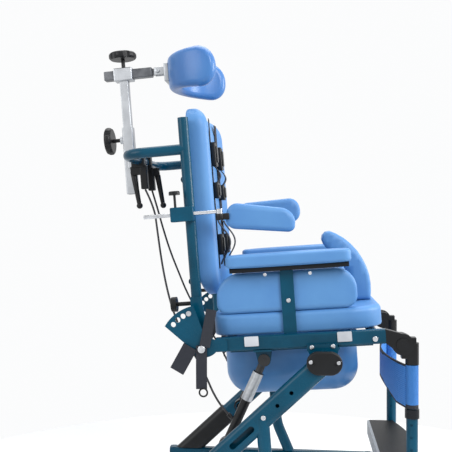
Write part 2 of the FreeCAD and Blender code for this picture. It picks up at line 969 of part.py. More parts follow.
def gas_at(distance, y=gas_y):
    return V(gas_foot.x, y, gas_foot.z) + gas_way * distance


cable_end = gas_at(cable_lug_along, -gas_y) + V(-20, 8, 16)
cable_last = cable_end + V(-cable_tail, 0, cable_tail)
anchor = straight_tube(
    V(gas_foot.x, gas_y - anchor_inside, gas_foot.z),
    V(gas_foot.x, upright_inner_y, gas_foot.z),
    anchor_radius,
    tube_wall,
)
nodes["base_cross_tubes"] = Part.makeCompound(cross_tubes + [anchor, mirrored(anchor)])

gas_eye = anchor_radius + 5
cylinder_top = gas_eye + gas_cylinder_length
cylinder = rod(gas_at(gas_eye - 2), gas_at(cylinder_top), gas_cylinder_radius)
eye_ring = rod(V(gas_foot.x, gas_y - 9, gas_foot.z), V(gas_foot.x, gas_y + 9, gas_foot.z), gas_eye)
cylinder = cylinder.fuse(eye_ring)
cylinder = cylinder.cut(
    rod(
        V(gas_foot.x, gas_y - 10, gas_foot.z),
        V(gas_foot.x, gas_y + 10, gas_foot.z),
        anchor_radius + fit,
    )
)
cable_lug = V(cable_end.x, -cable_end.y, cable_end.z)
cable_dip = V(cable_end.x - cable_last.x, cable_last.y - cable_end.y, cable_end.z - cable_last.z)
cable_dip.normalize()
lug_foot = cable_lug + cable_dip * lug_length
cylinder = cylinder.fuse(rod(cable_lug, lug_foot, lug_radius))
cylinder = cylinder.fuse(
    rod(cable_lug + cable_dip * (lug_length / 2), gas_at(cable_lug_along), lug_radius - 1)
)
cylinder = cylinder.cut(rod(gas_at(gas_eye + 5), gas_at(cylinder_top + 1), gas_rod_radius + 0.05))
nodes["gas_spring_cylinders"] = pair(cylinder)

sleeve_top = gas_length - 34
sleeve_low = cylinder_top - sleeve_lap
sleeve_radius = gas_cylinder_radius + fit + 1.6
gas_rod = rod(gas_at(cylinder_top - gas_rod_inside), gas_at(gas_length - 8), gas_rod_radius)
sleeve = rod(gas_at(sleeve_low), gas_at(sleeve_top), sleeve_radius)
sleeve = sleeve.cut(rod(gas_at(sleeve_low - 1), gas_at(sleeve_top - 3), gas_cylinder_radius + fit))
neck = rod(gas_at(sleeve_top - 1), gas_at(gas_length - 8), gas_eye_radius - 2)
eye_half = ear_gap - 1
top_eye = rod(
    V(gas_top.x, gas_y - eye_half, gas_top.z), V(gas_top.x, gas_y + eye_half, gas_top.z), gas_eye_radius
)
pin_half = ear_gap + 8
top_pin = rod(
    V(gas_top.x, gas_y - pin_half, gas_top.z), V(gas_top.x, gas_y + pin_half, gas_top.z), gas_pin_radius
)
gas_rod = gas_rod.fuse(sleeve).fuse(neck).fuse(top_eye).fuse(top_pin)
for y in (gas_y - ear_gap - 6.5, gas_y + ear_gap + 4.5):
    gas_rod = gas_rod.fuse(
        rod(V(gas_top.x, y, gas_top.z), V(gas_top.x, y + 2, gas_top.z), gas_washer_radius)
    )
nodes["gas_spring_rods"] = pair(gas_rod)


# Back pieces are modelled upright with the recline hinge as origin, then leaned back and set on the seat
hinge_world = seat_turn.multVec(hinge_point)


def back_placed(shape):
    placed = turned(shape, back_lean)
    return moved(placed, hinge_world.x, 0, hinge_world.z)


def back_node(name, shape):
    nodes[name] = back_placed(shape)


# Back posts with the plates that turn on the hinge bolts
post = straight_tube(V(post_u, post_y, post_foot), V(post_u, post_y, post_top), post_radius, tube_wall)
post = post.fuse(rod(V(post_u, post_y, post_top - 3), V(post_u, post_y, post_top), post_radius))
plate_from = arm_plate_in - 1
plate_high = post_foot + 85
arm_plate = outline([
    V(post_u - post_radius, plate_from, plate_high),
    V(post_u + post_radius, plate_from, plate_high),
    V(15, plate_from, 5),
    (V(0, plate_from, -16), V(-15, plate_from, -4)),
    V(post_u - post_radius, plate_from, post_foot),
]).extrude(V(0, arm_plate_thick + 1, 0))
post = post.fuse(arm_plate).removeSplitter()
post = post.cut(rod(V(0, plate_from - 1, 0), V(0, arm_plate_out + 1, 0), bolt_radius + 0.05))
knob_bore = rod(V(back_knob_u, post_y, back_knob_w), V(post_u, post_y, back_knob_w), knob_stem + 0.05)
post = post.cut(knob_bore)
back_node("back_posts", pair(post))

# Push handle: a loop from post to post, and the bars that cross behind the pad
post_bar = rod(V(post_u, post_y, post_foot), V(post_u, post_y, post_top), post_radius)
handle = bent_tube(
    [
        V(post_u, -post_y, handle_w),
        V(handle_u, -post_y, handle_w),
        V(handle_u, post_y, handle_w),
        V(post_u, post_y, handle_w),
    ],
    handle_bend,
    handle_radius,
    tube_wall,
)
handle = handle.cut(pair(post_bar))
handle = max(handle.Solids, key=lambda s: s.Volume)
bars = [handle]
back_bar_u = back_pad_rear - back_bar_radius
for w in back_bar_heights:
    bar = straight_tube(V(back_bar_u, -post_y, w), V(back_bar_u, post_y, w), back_bar_radius, tube_wall)
    bar = bar.cut(pair(post_bar))
    bars.append(max(bar.Solids, key=lambda s: s.Volume))
back_node("push_handle", Part.makeCompound(bars))


# Back pad: hollowed between two forward wings, drawn in towards its top and bottom
def back_section(w, inset):
    half = back_pad_half - inset
    rear = back_pad_rear
    front = rear + back_pad_thick - inset * 0.6
    wing = front + back_wing
    points = [
        V(rear, -half, w),
        V(wing - 16, -half, w),
        (V(wing - 2, -half + 5, w), V(wing, -half + 22, w)),
        (V(front, 0, w), V(wing, half - 22, w)),
        (V(wing - 2, half - 5, w), V(wing - 16, half, w)),
        V(rear, half, w),
    ]
    return outline(points).OuterWire


back_stations = (
    (back_pad_bottom, 30.0),
    (back_pad_bottom + 8, 14.0),
    (back_pad_bottom + 26, 3.0),
    (back_pad_bottom + 60, 0.0),
    (back_pad_top - 70, 0.0),
    (back_pad_top - 26, 6.0),
    (back_pad_top - 8, 18.0),
    (back_pad_top, 34.0),
)
back_node("back_pad", Part.makeLoft([back_section(w, inset) for w, inset in back_stations], True, True))

# Headrest socket on the middle of the handle, a square sleeve with the boss of its clamp knob
socket_u = handle_u - handle_radius - socket_gap - socket_half


def square_bar(half, low, high, edge):
    # An upright square bar on the headrest post's axis.
    bar = box(socket_u - half, socket_u + half, -half, half, low, high)
    if edge > 0:
        bar = bar.makeFillet(edge, edges_along(bar, V(0, 0, 1)))
    return bar


head_bore = square_bar(head_post_half + 0.05, socket_bottom - 1, socket_top + 1, 0)
head_socket = square_bar(socket_half, socket_bottom, socket_top, socket_edge)
saddle = rounded_box(socket_u - 4, handle_u + 4, -22, 22, handle_w - 18, handle_w + 18, 3)
saddle = saddle.cut(rod(V(handle_u, -60, handle_w), V(handle_u, 60, handle_w), handle_radius))
boss_end = socket_u - socket_half - 8
boss = rod(V(socket_u, 0, post_knob_w), V(boss_end, 0, post_knob_w), knob_stem + 5)
head_socket = head_socket.fuse(saddle).fuse(boss).cut(head_bore)
head_socket = head_socket.cut(
    rod(V(boss_end - 1, 0, post_knob_w), V(socket_u, 0, post_knob_w), knob_stem + 0.05)
)
back_node("headrest_socket", head_socket)


def lobed_knob(stem_length):
    # A round hand knob with a waisted rim, standing on its stem along +Z.
    knob = rod(V(0, 0, stem_length), V(0, 0, stem_length + knob_thick), knob_radius)
    knob = knob.makeFillet(7, [e for e in knob.Edges if e.Length > 2 * knob_radius])
    for i in range(6):
        a = math.radians(60 * i)
        centre = V(math.cos(a) * (knob_radius + 9), math.sin(a) * (knob_radius + 9), stem_length - 1)
        knob = knob.cut(rod(centre, centre + V(0, 0, knob_thick + 2), 14))
    return knob.fuse(rod(V(0, 0, 0), V(0, 0, stem_length + 2), knob_stem))


knob_tip = socket_u - head_post_half - 1
post_knob = lobed_knob(knob_tip - boss_end + 20)
post_knob.rotate(V(0, 0, 0), V(0, 1, 0), -90)
back_node("headrest_post_knob", moved(post_knob, knob_tip, 0, post_knob_w))

# Headrest post with the clamp sleeve at its top
clamp_half = head_bar_side / 2 + clamp_wall
clamp_low = head_clamp_w - clamp_half
bar_hole = head_bar_side / 2 + 0.05
head_post = square_bar(head_post_half, socket_bottom + 20, clamp_low + 1, socket_edge - 1)
head_post = head_post.cut(square_bar(head_post_half - tube_wall, socket_bottom + 19, clamp_low - 2, 0))
clamp = rounded_box(
    socket_u - clamp_length / 2,
    socket_u + clamp_length / 2,
    -clamp_half,
    clamp_half,
    clamp_low,
    head_clamp_w + clamp_half,
    3,
)
clamp = clamp.cut(
    box(
        socket_u - 60,
        socket_u + 60,
        -bar_hole,
        bar_hole,
        head_clamp_w - bar_hole,
        head_clamp_w + bar_hole,
    )
)
clamp = clamp.cut(
    rod(V(socket_u, 0, head_clamp_w), V(socket_u, 0, head_clamp_w + 40), knob_stem + 0.05)
)
back_node("headrest_post", head_post.fuse(clamp).removeSplitter())
bar_knob = lobed_knob(clamp_wall + knob_gap)
back_node("headrest_bar_knob", moved(bar_knob, socket_u, 0, head_clamp_w + head_bar_side / 2 + 0.5))

# Headrest bar with the hinge barrel of the pad
head_bar = rounded_box(
    head_bar_rear,
    head_hinge_u - 15,
    -head_bar_side / 2,
    head_bar_side / 2,
    head_clamp_w - head_bar_side / 2,
    head_clamp_w + head_bar_side / 2,
    2.5,
)
tongue = box(head_hinge_u - 19, head_hinge_u, -6, 6, head_clamp_w - 8, head_clamp_w + 8)
barrel = rod(V(head_hinge_u, -6, head_clamp_w), V(head_hinge_u, 6, head_clamp_w), 8)
head_pin = rod(V(head_hinge_u, -15, head_clamp_w), V(head_hinge_u, 15, head_clamp_w), 4)
back_node("headrest_bar", head_bar.fuse(tongue).fuse(barrel).fuse(head_pin).removeSplitter())

# Headrest pad: a curved cushion that wraps both sides of the head, on a plate with two hinge ears
head_low = head_clamp_w - head_drop - head_height / 2
head_high = head_low + head_height
wrap = outline([
    V(head_wing - 34, -head_half_width, head_low),
    (V(head_rear, 0, head_low), V(head_wing - 34, head_half_width, head_low)),
    (
        V(head_wing - 10, head_half_width + 2, head_low),
        V(head_wing - 4, head_half_width - 18, head_low),
    ),
    (V(head_rear + head_thick, 0, head_low), V(head_wing - 4, -head_half_width + 18, head_low)),
    (V(head_wing - 10, -head_half_width - 2, head_low), V(head_wing - 34, -head_half_width, head_low)),
]).extrude(V(0, 0, head_height))
side_view = rounded_plate(
    head_rear - 2,
    head_wing + 2,
    head_low - 1,
    head_high + 1,
    head_height * head_corner_share,
    -head_half_width - 20,
    head_half_width + 20,
)
cushion = wrap.common(side_view)
ear_low = head_clamp_w - 10
head_plate = box(head_rear - 8, head_rear + 2, -30, 30, ear_low - 22, ear_low + 24)
for side in (-1, 1):
    ear = box(head_hinge_u - 8, head_rear - 6, 6.3, 12, ear_low, ear_low + 20)
    if side < 0:
        ear = mirrored(ear)
    head_plate = head_plate.fuse(ear)
head_plate = head_plate.cut(
    rod(V(head_hinge_u, -20, head_clamp_w), V(head_hinge_u, 20, head_clamp_w), 4.05)
)
head_plate = head_plate.cut(wrap)
head_plate = max(head_plate.Solids, key=lambda s: s.Volume)
back_node("headrest_pad", Part.makeCompound([cushion, head_plate]))

# Lateral supports: clamp blocks on the posts, sliding rods, swinging pads and spring plungers
block_low = lateral_w - lateral_block_height / 2
block_high = lateral_w + lateral_block_height / 2
block_rear = lateral_block_rear
block = rounded_box(
    block_rear,
    block_rear + lateral_block_length,
    post_y - 6,
    lateral_rod_y + lateral_rod_radius + 7,
    block_low,
    block_high,
    3,
)
block = block.cut(post_bar)
block = block.cut(
    rod(
        V(block_rear - 1, lateral_rod_y, lateral_w),
        V(block_rear + lateral_block_length + 1, lateral_rod_y, lateral_w),
        lateral_rod_radius + 0.05,
    )
)
plunger_u = block_rear + 12
plunger_foot = lateral_w + lateral_rod_radius + 1
block = block.cut(
    rod(
        V(plunger_u, lateral_rod_y, plunger_foot),
        V(plunger_u, lateral_rod_y, block_high + 1),
        plunger_stem + 0.05,
    )
)
block = max(block.Solids, key=lambda s: s.Volume)
back_node("lateral_blocks", pair(block))

plunger_head = block_high + 30
plunger = rod(
    V(plunger_u, lateral_rod_y, plunger_foot), V(plunger_u, lateral_rod_y, plunger_head), plunger_stem
)
cap = rod(
    V(plunger_u, lateral_rod_y, plunger_head - 1),
    V(plunger_u, lateral_rod_y, plunger_head + 8),
    plunger_radius,
)
cap = cap.makeFillet(
    3, [e for e in cap.Edges if e.Length > plunger_radius and e.CenterOfMass.z > plunger_head + 1]
)
back_node("lateral_plungers", pair(plunger.fuse(cap)))

swing_u = lateral_rod_front + 8
swing_eye = 8.0
swing_pin = 4.0
swing_low = lateral_w - 20
pad_arm = 14.0
pad_start = swing_u + pad_arm
for side, name in ((-1, "right"), (1, "left")):
    lateral = rod(
        V(lateral_rod_rear, lateral_rod_y, lateral_w),
        V(swing_u, lateral_rod_y, lateral_w),
        lateral_rod_radius,
    )
    eye_part = rod(
        V(swing_u, lateral_rod_y, lateral_w - 5), V(swing_u, lateral_rod_y, lateral_w + 6), swing_eye
    )
    pin_part = rod(
        V(swing_u, lateral_rod_y, swing_low), V(swing_u, lateral_rod_y, lateral_w), swing_pin
    )
    lateral = lateral.fuse(eye_part).fuse(pin_part).removeSplitter()
    lug_top = lateral_w - 5 - fit
    lug = rod(V(swing_u, lateral_rod_y, swing_low), V(swing_u, lateral_rod_y, lug_top), swing_eye + 1)
    pad_centre = lateral_w - 13
    inner_y = lateral_pad_y
    outer_y = lateral_pad_y + lateral_pad_thick
    lug = lug.fuse(box(swing_u, pad_start + 8, outer_y - 12, lateral_rod_y + 4, swing_low, lug_top))
    lug = lug.cut(
        rod(
            V(swing_u, lateral_rod_y, swing_low - 1),
            V(swing_u, lateral_rod_y, lug_top + 1),
            swing_pin + 0.05,
        ),
    )
    wing_pad = outline([
        V(pad_start, inner_y, pad_centre - 12),
        (V(pad_start + 4, inner_y, pad_centre - 24), V(pad_start + 18, inner_y, pad_centre - 28)),
        V(pad_start + lateral_pad_length - 30, inner_y, pad_centre - lateral_pad_height / 2),
        (
            V(pad_start + lateral_pad_length, inner_y, pad_centre),
            V(pad_start + lateral_pad_length - 30, inner_y, pad_centre + lateral_pad_height / 2),
        ),
        V(pad_start + 18, inner_y, pad_centre + 28),
        (V(pad_start + 4, inner_y, pad_centre + 24), V(pad_start, inner_y, pad_centre + 12)),
    ]).extrude(V(0, lateral_pad_thick, 0))
    wing_pad = softened(wing_pad, lateral_pad_round, y_faces(wing_pad))
    wing_pad = turned(wing_pad, -lateral_pad_dips[name], V(pad_start, 0, pad_centre))
    wing_pad = wing_pad.cut(lug)
    if side < 0:
        lateral = mirrored(lateral)
        lug = mirrored(lug)
        wing_pad = mirrored(wing_pad)
    back_node("lateral_rod_" + name, lateral)
    back_node("lateral_pad_" + name, Part.makeCompound([wing_pad, lug]))

# Release levers: housings clamped on the handle, with a lever behind the right one and before the left one
housings = []
lever_axes = {}
hood_u = handle_u + hood_forward
lever_pivot_w = handle_w - 31
housing_foot = handle_w - 76
handle_bar = rod(V(handle_u, -post_y, handle_w), V(handle_u, post_y, handle_w), handle_radius)
for side, name in ((-1, "right"), (1, "left")):
    y = side * lever_y
    axis_u = hood_u + lever_pivots[name]
    grip = rounded_box(handle_u - 17, handle_u + 17, y - 12, y + 12, handle_w - 20, handle_w + 17, 3)
    hood = rounded_box(hood_u - hood_half, hood_u + hood_half, y - 10, y + 10, housing_foot, handle_w - 14, 3)
    cheek_rear = min(hood_u, axis_u - 5)
    cheek_front = max(hood_u, axis_u + 5)
    cheek = box(cheek_rear, cheek_front, -9, -6, lever_pivot_w - 7, lever_pivot_w + 14)
    pivot = rod(V(axis_u, y - 9, lever_pivot_w), V(axis_u, y + 9, lever_pivot_w), 2.5)
    housing = grip.fuse(hood).fuse(moved(cheek, 0, y)).fuse(moved(cheek, 0, y + 15)).fuse(pivot)
    housing = housing.cut(handle_bar)
    housings.append(max(housing.Solids, key=lambda s: s.Volume))
    top = V(axis_u, y, lever_pivot_w)
    tip = V(axis_u + lever_splay, y, lever_pivot_w - lever_drop)
    blade = rod(top - V(0, 5, 0), top + V(0, 5, 0), lever_root)
    blade = blade.fuse(Part.makeCone(lever_root - 1.6, lever_neck, (tip - top).Length, top, tip - top))
    blade = blade.fuse(Part.makeSphere(lever_ball, tip))
    blade = blade.cut(rod(top - V(0, 10, 0), top + V(0, 10, 0), 2.55))
    back_node("release_lever_" + name, max(blade.Solids, key=lambda s: s.Volume))
    lever_axes[name] = top
back_node("lever_housings", Part.makeCompound(housings))

# Pull knobs that lock the back's recline
knob_face = back_knob_u + back_knob_thick / 2
pull_knob = rod(
    V(back_knob_u - back_knob_thick / 2, post_y, back_knob_w),
    V(knob_face, post_y, back_knob_w),
    back_knob_radius,
)
pull_knob = pull_knob.makeFillet(
    3, [e for e in pull_knob.Edges if e.Length > back_knob_radius and e.CenterOfMass.x < back_knob_u]
)
pull_knob = pull_knob.fuse(
    rod(V(back_knob_u, post_y, back_knob_w), V(post_u - 4, post_y, back_knob_w), knob_stem)
)
back_node("back_knobs", pair(pull_knob))

# Chest harness straps that lie over the front of the pad
strap_edge = (harness_y + strap_width / 2) / (back_pad_half - 22)
strap_u = back_pad_rear + back_pad_thick + back_wing * strap_edge ** 2 + fit
straps = []
for y in (-harness_y, harness_y):
    straps.append(
        box(
            strap_u,
            strap_u + strap_thick,
            y - strap_width / 2,
            y + strap_width / 2,
            harness_low,
            harness_high,
        ),
    )
back_node("chest_harness", Part.makeCompound(straps))

# Leg rest hubs on the front ends of the rails
hub_world = seat_turn.multVec(V(leg_hub_x, 0, leg_hub_z))
hub_arm = outline([
    V(seat_rail_front + 0.2, rail_in, rail_low),
    V(leg_hub_x - 6, rail_in, leg_hub_z - leg_hub_radius + 2),
    V(leg_hub_x + 6, rail_in, leg_hub_z + leg_hub_radius - 2),
    V(seat_rail_front + 0.2, rail_in, rail_high),
]).extrude(V(0, seat_rail_wide, 0))
hub = rod(V(leg_hub_x, rail_in, leg_hub_z), V(leg_hub_x, rail_out, leg_hub_z), leg_hub_radius)
hub_cap = rod(
    V(leg_hub_x, rail_out - 1, leg_hub_z), V(leg_hub_x, rail_out + 3, leg_hub_z), leg_hub_radius * 0.6
)
hub = hub.fuse(hub_arm).fuse(hub_cap)
hub_pin = rod(V(leg_hub_x, leg_inner_y, leg_hub_z), V(leg_hub_x, rail_in + 1, leg_hub_z), 6)
seat_node("leg_hubs", pair(hub.fuse(hub_pin).removeSplitter()))

# Leg rest: elbows, telescopic tubes, calf band and footplate, upright at rest
elbow_out = rail_in - fit
elbow_low = band_top + 1
elbow = rod(
    V(hub_world.x, leg_inner_y, hub_world.z), V(hub_world.x, elbow_out, hub_world.z), leg_hub_radius - 2
)
elbow = elbow.fuse(
    box(hub_world.x, leg_x + 8, leg_inner_y, elbow_out, elbow_low + 14, hub_world.z + 12)
)
elbow = elbow.fuse(rod(V(leg_x, leg_y, elbow_low), V(leg_x, leg_y, hub_world.z), leg_tube_radius + 4))
elbow = elbow.cut(
    rod(V(hub_world.x, leg_inner_y - 1, hub_world.z), V(hub_world.x, elbow_out + 1, hub_world.z), 6.05)
)
elbow = elbow.cut(
    rod(V(leg_x, leg_y, elbow_low - 1), V(leg_x, leg_y, hub_world.z - 8), leg_tube_radius)
)
elbow = elbow.common(
    box(hub_world.x - 60, leg_x + 60, leg_inner_y - 20, elbow_out, elbow_low, hub_world.z + 60)
)
nodes["leg_elbows"] = pair(elbow)
leg_tube = straight_tube(
    V(leg_x, leg_y, leg_tube_foot), V(leg_x, leg_y, hub_world.z - 8), leg_tube_radius, tube_wall
)
nodes["leg_tubes"] = pair(leg_tube)

lower_foot = footplate_top - footplate_thick - 12
lower = rod(V(leg_x, leg_y, lower_foot), V(leg_x, leg_y, lower_tube_top), lower_tube_radius)
collar = rod(
    V(leg_x, leg_y, lower_tube_top - collar_length / 2),
    V(leg_x, leg_y, lower_tube_top + collar_length / 2),
    collar_radius,
)
lower = lower.fuse(collar)
lower = lower.cut(rod(V(leg_x, leg_y, lower_foot + 4), V(leg_x, leg_y, 0), leg_tube_radius + 0.05))
foot_axis_z = footplate_top - footplate_thick / 2
lower = lower.cut(rod(V(leg_x, 0, foot_axis_z), V(leg_x, leg_y, foot_axis_z), foot_pin + 0.05))
for i in range(3):
    hole_z = lower_tube_top - 24 - i * leg_hole_pitch
    lower = lower.cut(rod(V(leg_x - 3, leg_y - 40, hole_z), V(leg_x - 3, leg_y, hole_z), leg_hole))
    lower = lower.cut(rod(V(leg_x - 3, leg_y + 40, hole_z), V(leg_x - 3, leg_y, hole_z), leg_hole))
nodes["leg_lowers"] = pair(lower)

band_x = leg_x - leg_tube_radius
calf_arc = [
    V(band_x, -leg_y, band_bottom),
    (V(band_x - band_bow, 0, band_bottom), V(band_x, leg_y, band_bottom)),
    V(band_x - band_thick, leg_y, band_bottom),
    (V(band_x - band_bow - band_thick, 0, band_bottom), V(band_x - band_thick, -leg_y, band_bottom)),
]
band = outline(calf_arc).extrude(V(0, 0, band_top - band_bottom))
scallop_radius = 460.0
band = band.cut(
    rod(
        V(0, 0, band_bottom + 26 - scallop_radius),
        V(300, 0, band_bottom + 26 - scallop_radius),
        scallop_radius,
    ),
)
for side in (-1, 1):
    band = band.fuse(
        rod(V(leg_x, side * leg_y, band_bottom), V(leg_x, side * leg_y, band_top), band_sleeve)
    )
for side in (-1, 1):
    band = band.cut(
        rod(
            V(leg_x, side * leg_y, band_bottom - 1),
            V(leg_x, side * leg_y, band_top + 1),
            leg_tube_radius + 0.2,
        ),
    )
nodes["calf_band"] = max(band.Solids, key=lambda s: s.Volume)

plate_half = leg_y - lower_tube_radius - 3
tread_low = footplate_top - footplate_thick
front_end = footplate_front - footplate_bow
tread = outline([
    V(footplate_rear, -plate_half, tread_low),
    V(front_end, -plate_half, tread_low),
    (V(footplate_front, 0, tread_low), V(front_end, plate_half, tread_low)),
    V(footplate_rear, plate_half, tread_low),
]).extrude(V(0, 0, footplate_thick))
tread = tread.makeFillet(12, edges_along(tread, V(0, 0, 1)))
lip = box(
    footplate_rear,
    footplate_rear + 3,
    -plate_half + 13,
    plate_half - 13,
    tread_low - footplate_lip + 12,
    tread_low + 1,
)
tread = tread.fuse(lip)
for side in (-1, 1):
    tread = tread.fuse(
        rod(
            V(leg_x, side * (plate_half - 20), foot_axis_z),
            V(leg_x, side * (leg_y + 2), foot_axis_z),
            foot_pin,
        ),
    )
nodes["footplate"] = tread.removeSplitter()

# Hip belt tails that hang from the hinge bolts
belt_x = hinge_world.x
belt_y = plate_out + 5 + fit
belt = box(
    belt_x - strap_width / 2,
    belt_x + strap_width / 2,
    belt_y,
    belt_y + strap_thick,
    hinge_world.z - belt_drop,
    hinge_world.z + 8,
)
nodes["hip_belt"] = pair(belt)

# Release cables from the lever housings to the gas springs
cable_start = back_placed(Part.Vertex(V(hood_u, -lever_y, housing_foot - 1))).Point
cable_span = cable_start - cable_last
cable_route = [cable_start]
for reach, spread, drop in cable_shares:
    cable_route.append(cable_last + V(cable_span.x * reach, cable_span.y * spread, cable_span.z * drop))
cable_route += [cable_last, cable_end]


def cord_path(points):
    # Each corner gets the largest arc that its two runs leave room for.
    edges = []
    last = points[0]
    for i in range(1, len(points) - 1):
        corner = points[i]
        before = points[i - 1] - corner
        after = points[i + 1] - corner
        shorter = min(before.Length, after.Length)
        before.normalize()
        after.normalize()
        cut = 0.45 * shorter
        first = corner + before * cut
        second = corner + after * cut
        half = before.getAngle(after) / 2
        radius = cut * math.tan(half)
        middle = corner + (before + after).normalize() * (radius / math.sin(half) - radius)
        edges.append(Part.LineSegment(last, first).toShape())
        edges.append(Part.Arc(first, middle, second).toShape())
        last = second
    edges.append(Part.LineSegment(last, points[-1]).toShape())
    return Part.Wire(edges)


cable_path = cord_path(cable_route)
cable_ring = Part.Wire([Part.makeCircle(cable_radius, cable_route[0], cable_route[1] - cable_route[0])])
cable = Part.Solid(cable_path.makePipeShell([cable_ring], True, False))
nodes["release_cables"] = pair(cable)

# The whole chair stands on the floor, centred over the origin
os.makedirs("parts", exist_ok=True)
whole = Part.makeCompound(list(nodes.values())).optimalBoundingBox(False, False)
shift = V(-(whole.XMin + whole.XMax) / 2, 0, tilt_axis_height)
for name, shape in nodes.items():
    placed = moved(shape, shift.x, shift.y, shift.z)
    placed.exportStep("parts/" + name + ".step")
print(len(nodes), "pieces", "shift", shift)
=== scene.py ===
import json
import math
import bmesh
import bpy
from mathutils import Matrix, Vector


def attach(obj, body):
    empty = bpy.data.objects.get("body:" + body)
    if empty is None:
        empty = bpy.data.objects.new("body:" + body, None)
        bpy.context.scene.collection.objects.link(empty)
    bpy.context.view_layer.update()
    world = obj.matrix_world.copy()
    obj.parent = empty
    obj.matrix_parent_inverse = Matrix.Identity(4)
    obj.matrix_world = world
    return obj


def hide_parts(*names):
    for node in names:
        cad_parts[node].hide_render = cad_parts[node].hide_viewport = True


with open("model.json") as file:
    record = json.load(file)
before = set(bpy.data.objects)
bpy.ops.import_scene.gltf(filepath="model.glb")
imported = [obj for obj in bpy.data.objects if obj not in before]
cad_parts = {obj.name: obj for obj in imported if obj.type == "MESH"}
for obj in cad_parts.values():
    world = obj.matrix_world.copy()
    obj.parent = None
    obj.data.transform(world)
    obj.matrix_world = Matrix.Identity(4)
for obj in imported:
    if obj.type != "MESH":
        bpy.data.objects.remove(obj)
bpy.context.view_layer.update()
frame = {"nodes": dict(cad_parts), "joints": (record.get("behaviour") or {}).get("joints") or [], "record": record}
nodes = frame["nodes"]
print("frame loaded:", len(nodes), "nodes")


# where things turn: seat pieces are drawn about the tilt axis, back pieces about the recline hinge
def jointPlace(name):
    return Vector(next(j["pos_m"] for j in frame["joints"] if j["name"] == name))


stance = {"seatSlope": 4.0, "backLean": 4.5}
tiltAxis = jointPlace("seat_tilt")
reclineAxis = jointPlace("back_recline")
basePlace = Matrix.Translation(tiltAxis)
seatPlace = basePlace @ Matrix.Rotation(-math.radians(stance["seatSlope"]), 4, "Y")
backPlace = Matrix.Translation(reclineAxis) @ Matrix.Rotation(-math.radians(stance["backLean"]), 4, "Y")


def deselect():
    if bpy.context.object and bpy.context.object.mode == "EDIT":
        bpy.ops.object.mode_set(mode="OBJECT")
    bpy.ops.object.select_all(action="DESELECT")


def pick(piece):
    deselect()
    piece.select_set(True)
    bpy.context.view_layer.objects.active = piece


def settle(piece, place):  # moves a drawn piece to its place, which ends up in the mesh
    pick(piece)
    piece.matrix_world = place @ piece.matrix_world
    bpy.ops.object.transform_apply(location=True, rotation=True, scale=True)
    return piece


def applyModifier(piece, kind, **settings):
    pick(piece)
    modifier = piece.modifiers.new(kind.lower(), kind)
    for key, value in settings.items():
        setattr(modifier, key, value)
    bpy.ops.object.modifier_apply(modifier=modifier.name)


def selectEdges(piece, test):
    bpy.ops.mesh.select_mode(type="EDGE")
    sheet = bmesh.from_edit_mesh(piece.data)
    for face in sheet.faces:
        face.select = False
    for edge in sheet.edges:
        edge.select = bool(test(edge))
    sheet.select_flush_mode()
    bmesh.update_edit_mesh(piece.data)


def smooth(piece, angle=40):
    pick(piece)
    bpy.ops.object.shade_smooth_by_angle(angle=math.radians(angle))


weld = 0.00002  # points nearer than this become one
flush = 0.0001  # within this a point counts as on a face
sharp = math.radians(60)  # edges that turn more than this are rounded


def faceOut(piece):
    pick(piece)
    bpy.ops.object.mode_set(mode="EDIT")
    bpy.ops.mesh.select_all(action="SELECT")
    bpy.ops.mesh.remove_doubles(threshold=weld)
    bpy.ops.mesh.normals_make_consistent(inside=False)
    bpy.ops.object.mode_set(mode="OBJECT")


def joinPieces(pieces, name):
    deselect()
    for piece in pieces:
        piece.select_set(True)
    bpy.context.view_layer.objects.active = pieces[0]
    if len(pieces) > 1:
        bpy.ops.object.join()
    pieces[0].name = name
    return pieces[0]


def mirror(piece):  # from one side of the chair to the other
    for vertex in piece.data.vertices:
        vertex.co.y = -vertex.co.y
    faceOut(piece)


def flipped(piece, name):  # the other side's copy
    pick(piece)
    bpy.ops.object.duplicate()
    twin = bpy.context.object
    twin.name = name
    mirror(twin)
    return twin


def roundedOutline(x0, x1, z0, z1, corners, steps=8):
    # corners: rear low, front low, front high, rear high
    points = []
    places = ((x0, z0, 180), (x1, z0, 270), (x1, z1, 0), (x0, z1, 90))
    for (x, z, start), radius in zip(places, corners):
        cx = x + radius if x == x0 else x - radius
        cz = z + radius if z == z0 else z - radius
        for i in range(steps + 1):
            a = math.radians(start + 90 * i / steps)
            points.append((cx + radius * math.cos(a), cz + radius * math.sin(a)))
    return points


def flatOutline(name, points, plane):  # a filled outline in the XZ or XY plane
    deselect()
    bpy.ops.mesh.primitive_circle_add(vertices=len(points), radius=0.1, fill_type="NGON")
    piece = bpy.context.object
    piece.name = name
    for vertex, (a, b) in zip(piece.data.vertices, points):
        vertex.co = (a, 0, b) if plane == "XZ" else (a, b, 0)
    return piece


depthAxis = {"XZ": Vector((0, 1, 0)), "XY": Vector((0, 0, 1))}


def drawnOut(name, points, plane, start, thick):  # an outline drawn out to its thickness, left in edit mode
    piece = flatOutline(name, points, plane)
    axis = depthAxis[plane]
    pick(piece)
    bpy.ops.object.mode_set(mode="EDIT")
    bpy.ops.mesh.select_all(action="SELECT")
    bpy.ops.transform.translate(value=axis * start)
    bpy.ops.mesh.extrude_region_move(TRANSFORM_OT_translate={"value": axis * thick})
    bpy.ops.mesh.select_all(action="SELECT")
    bpy.ops.mesh.normals_make_consistent(inside=False)
    return piece


def bothRims(axis):  # edges that lie across the depth
    return lambda edge: len({round(v.co.dot(axis), 5) for v in edge.verts}) == 1


def oneRim(axis, level):
    return lambda edge: all(abs(v.co.dot(axis) - level) < flush for v in edge.verts)


def sliced(direction, start, end, step):  # parallel cuts, so that flat faces can be bent or swelled
    cuts = int((end - start) / step)
    for i in range(1, cuts):
        bpy.ops.mesh.select_all(action="SELECT")
        bpy.ops.mesh.bisect(plane_co=direction * (start + (end - start) * i / cuts), plane_no=direction)


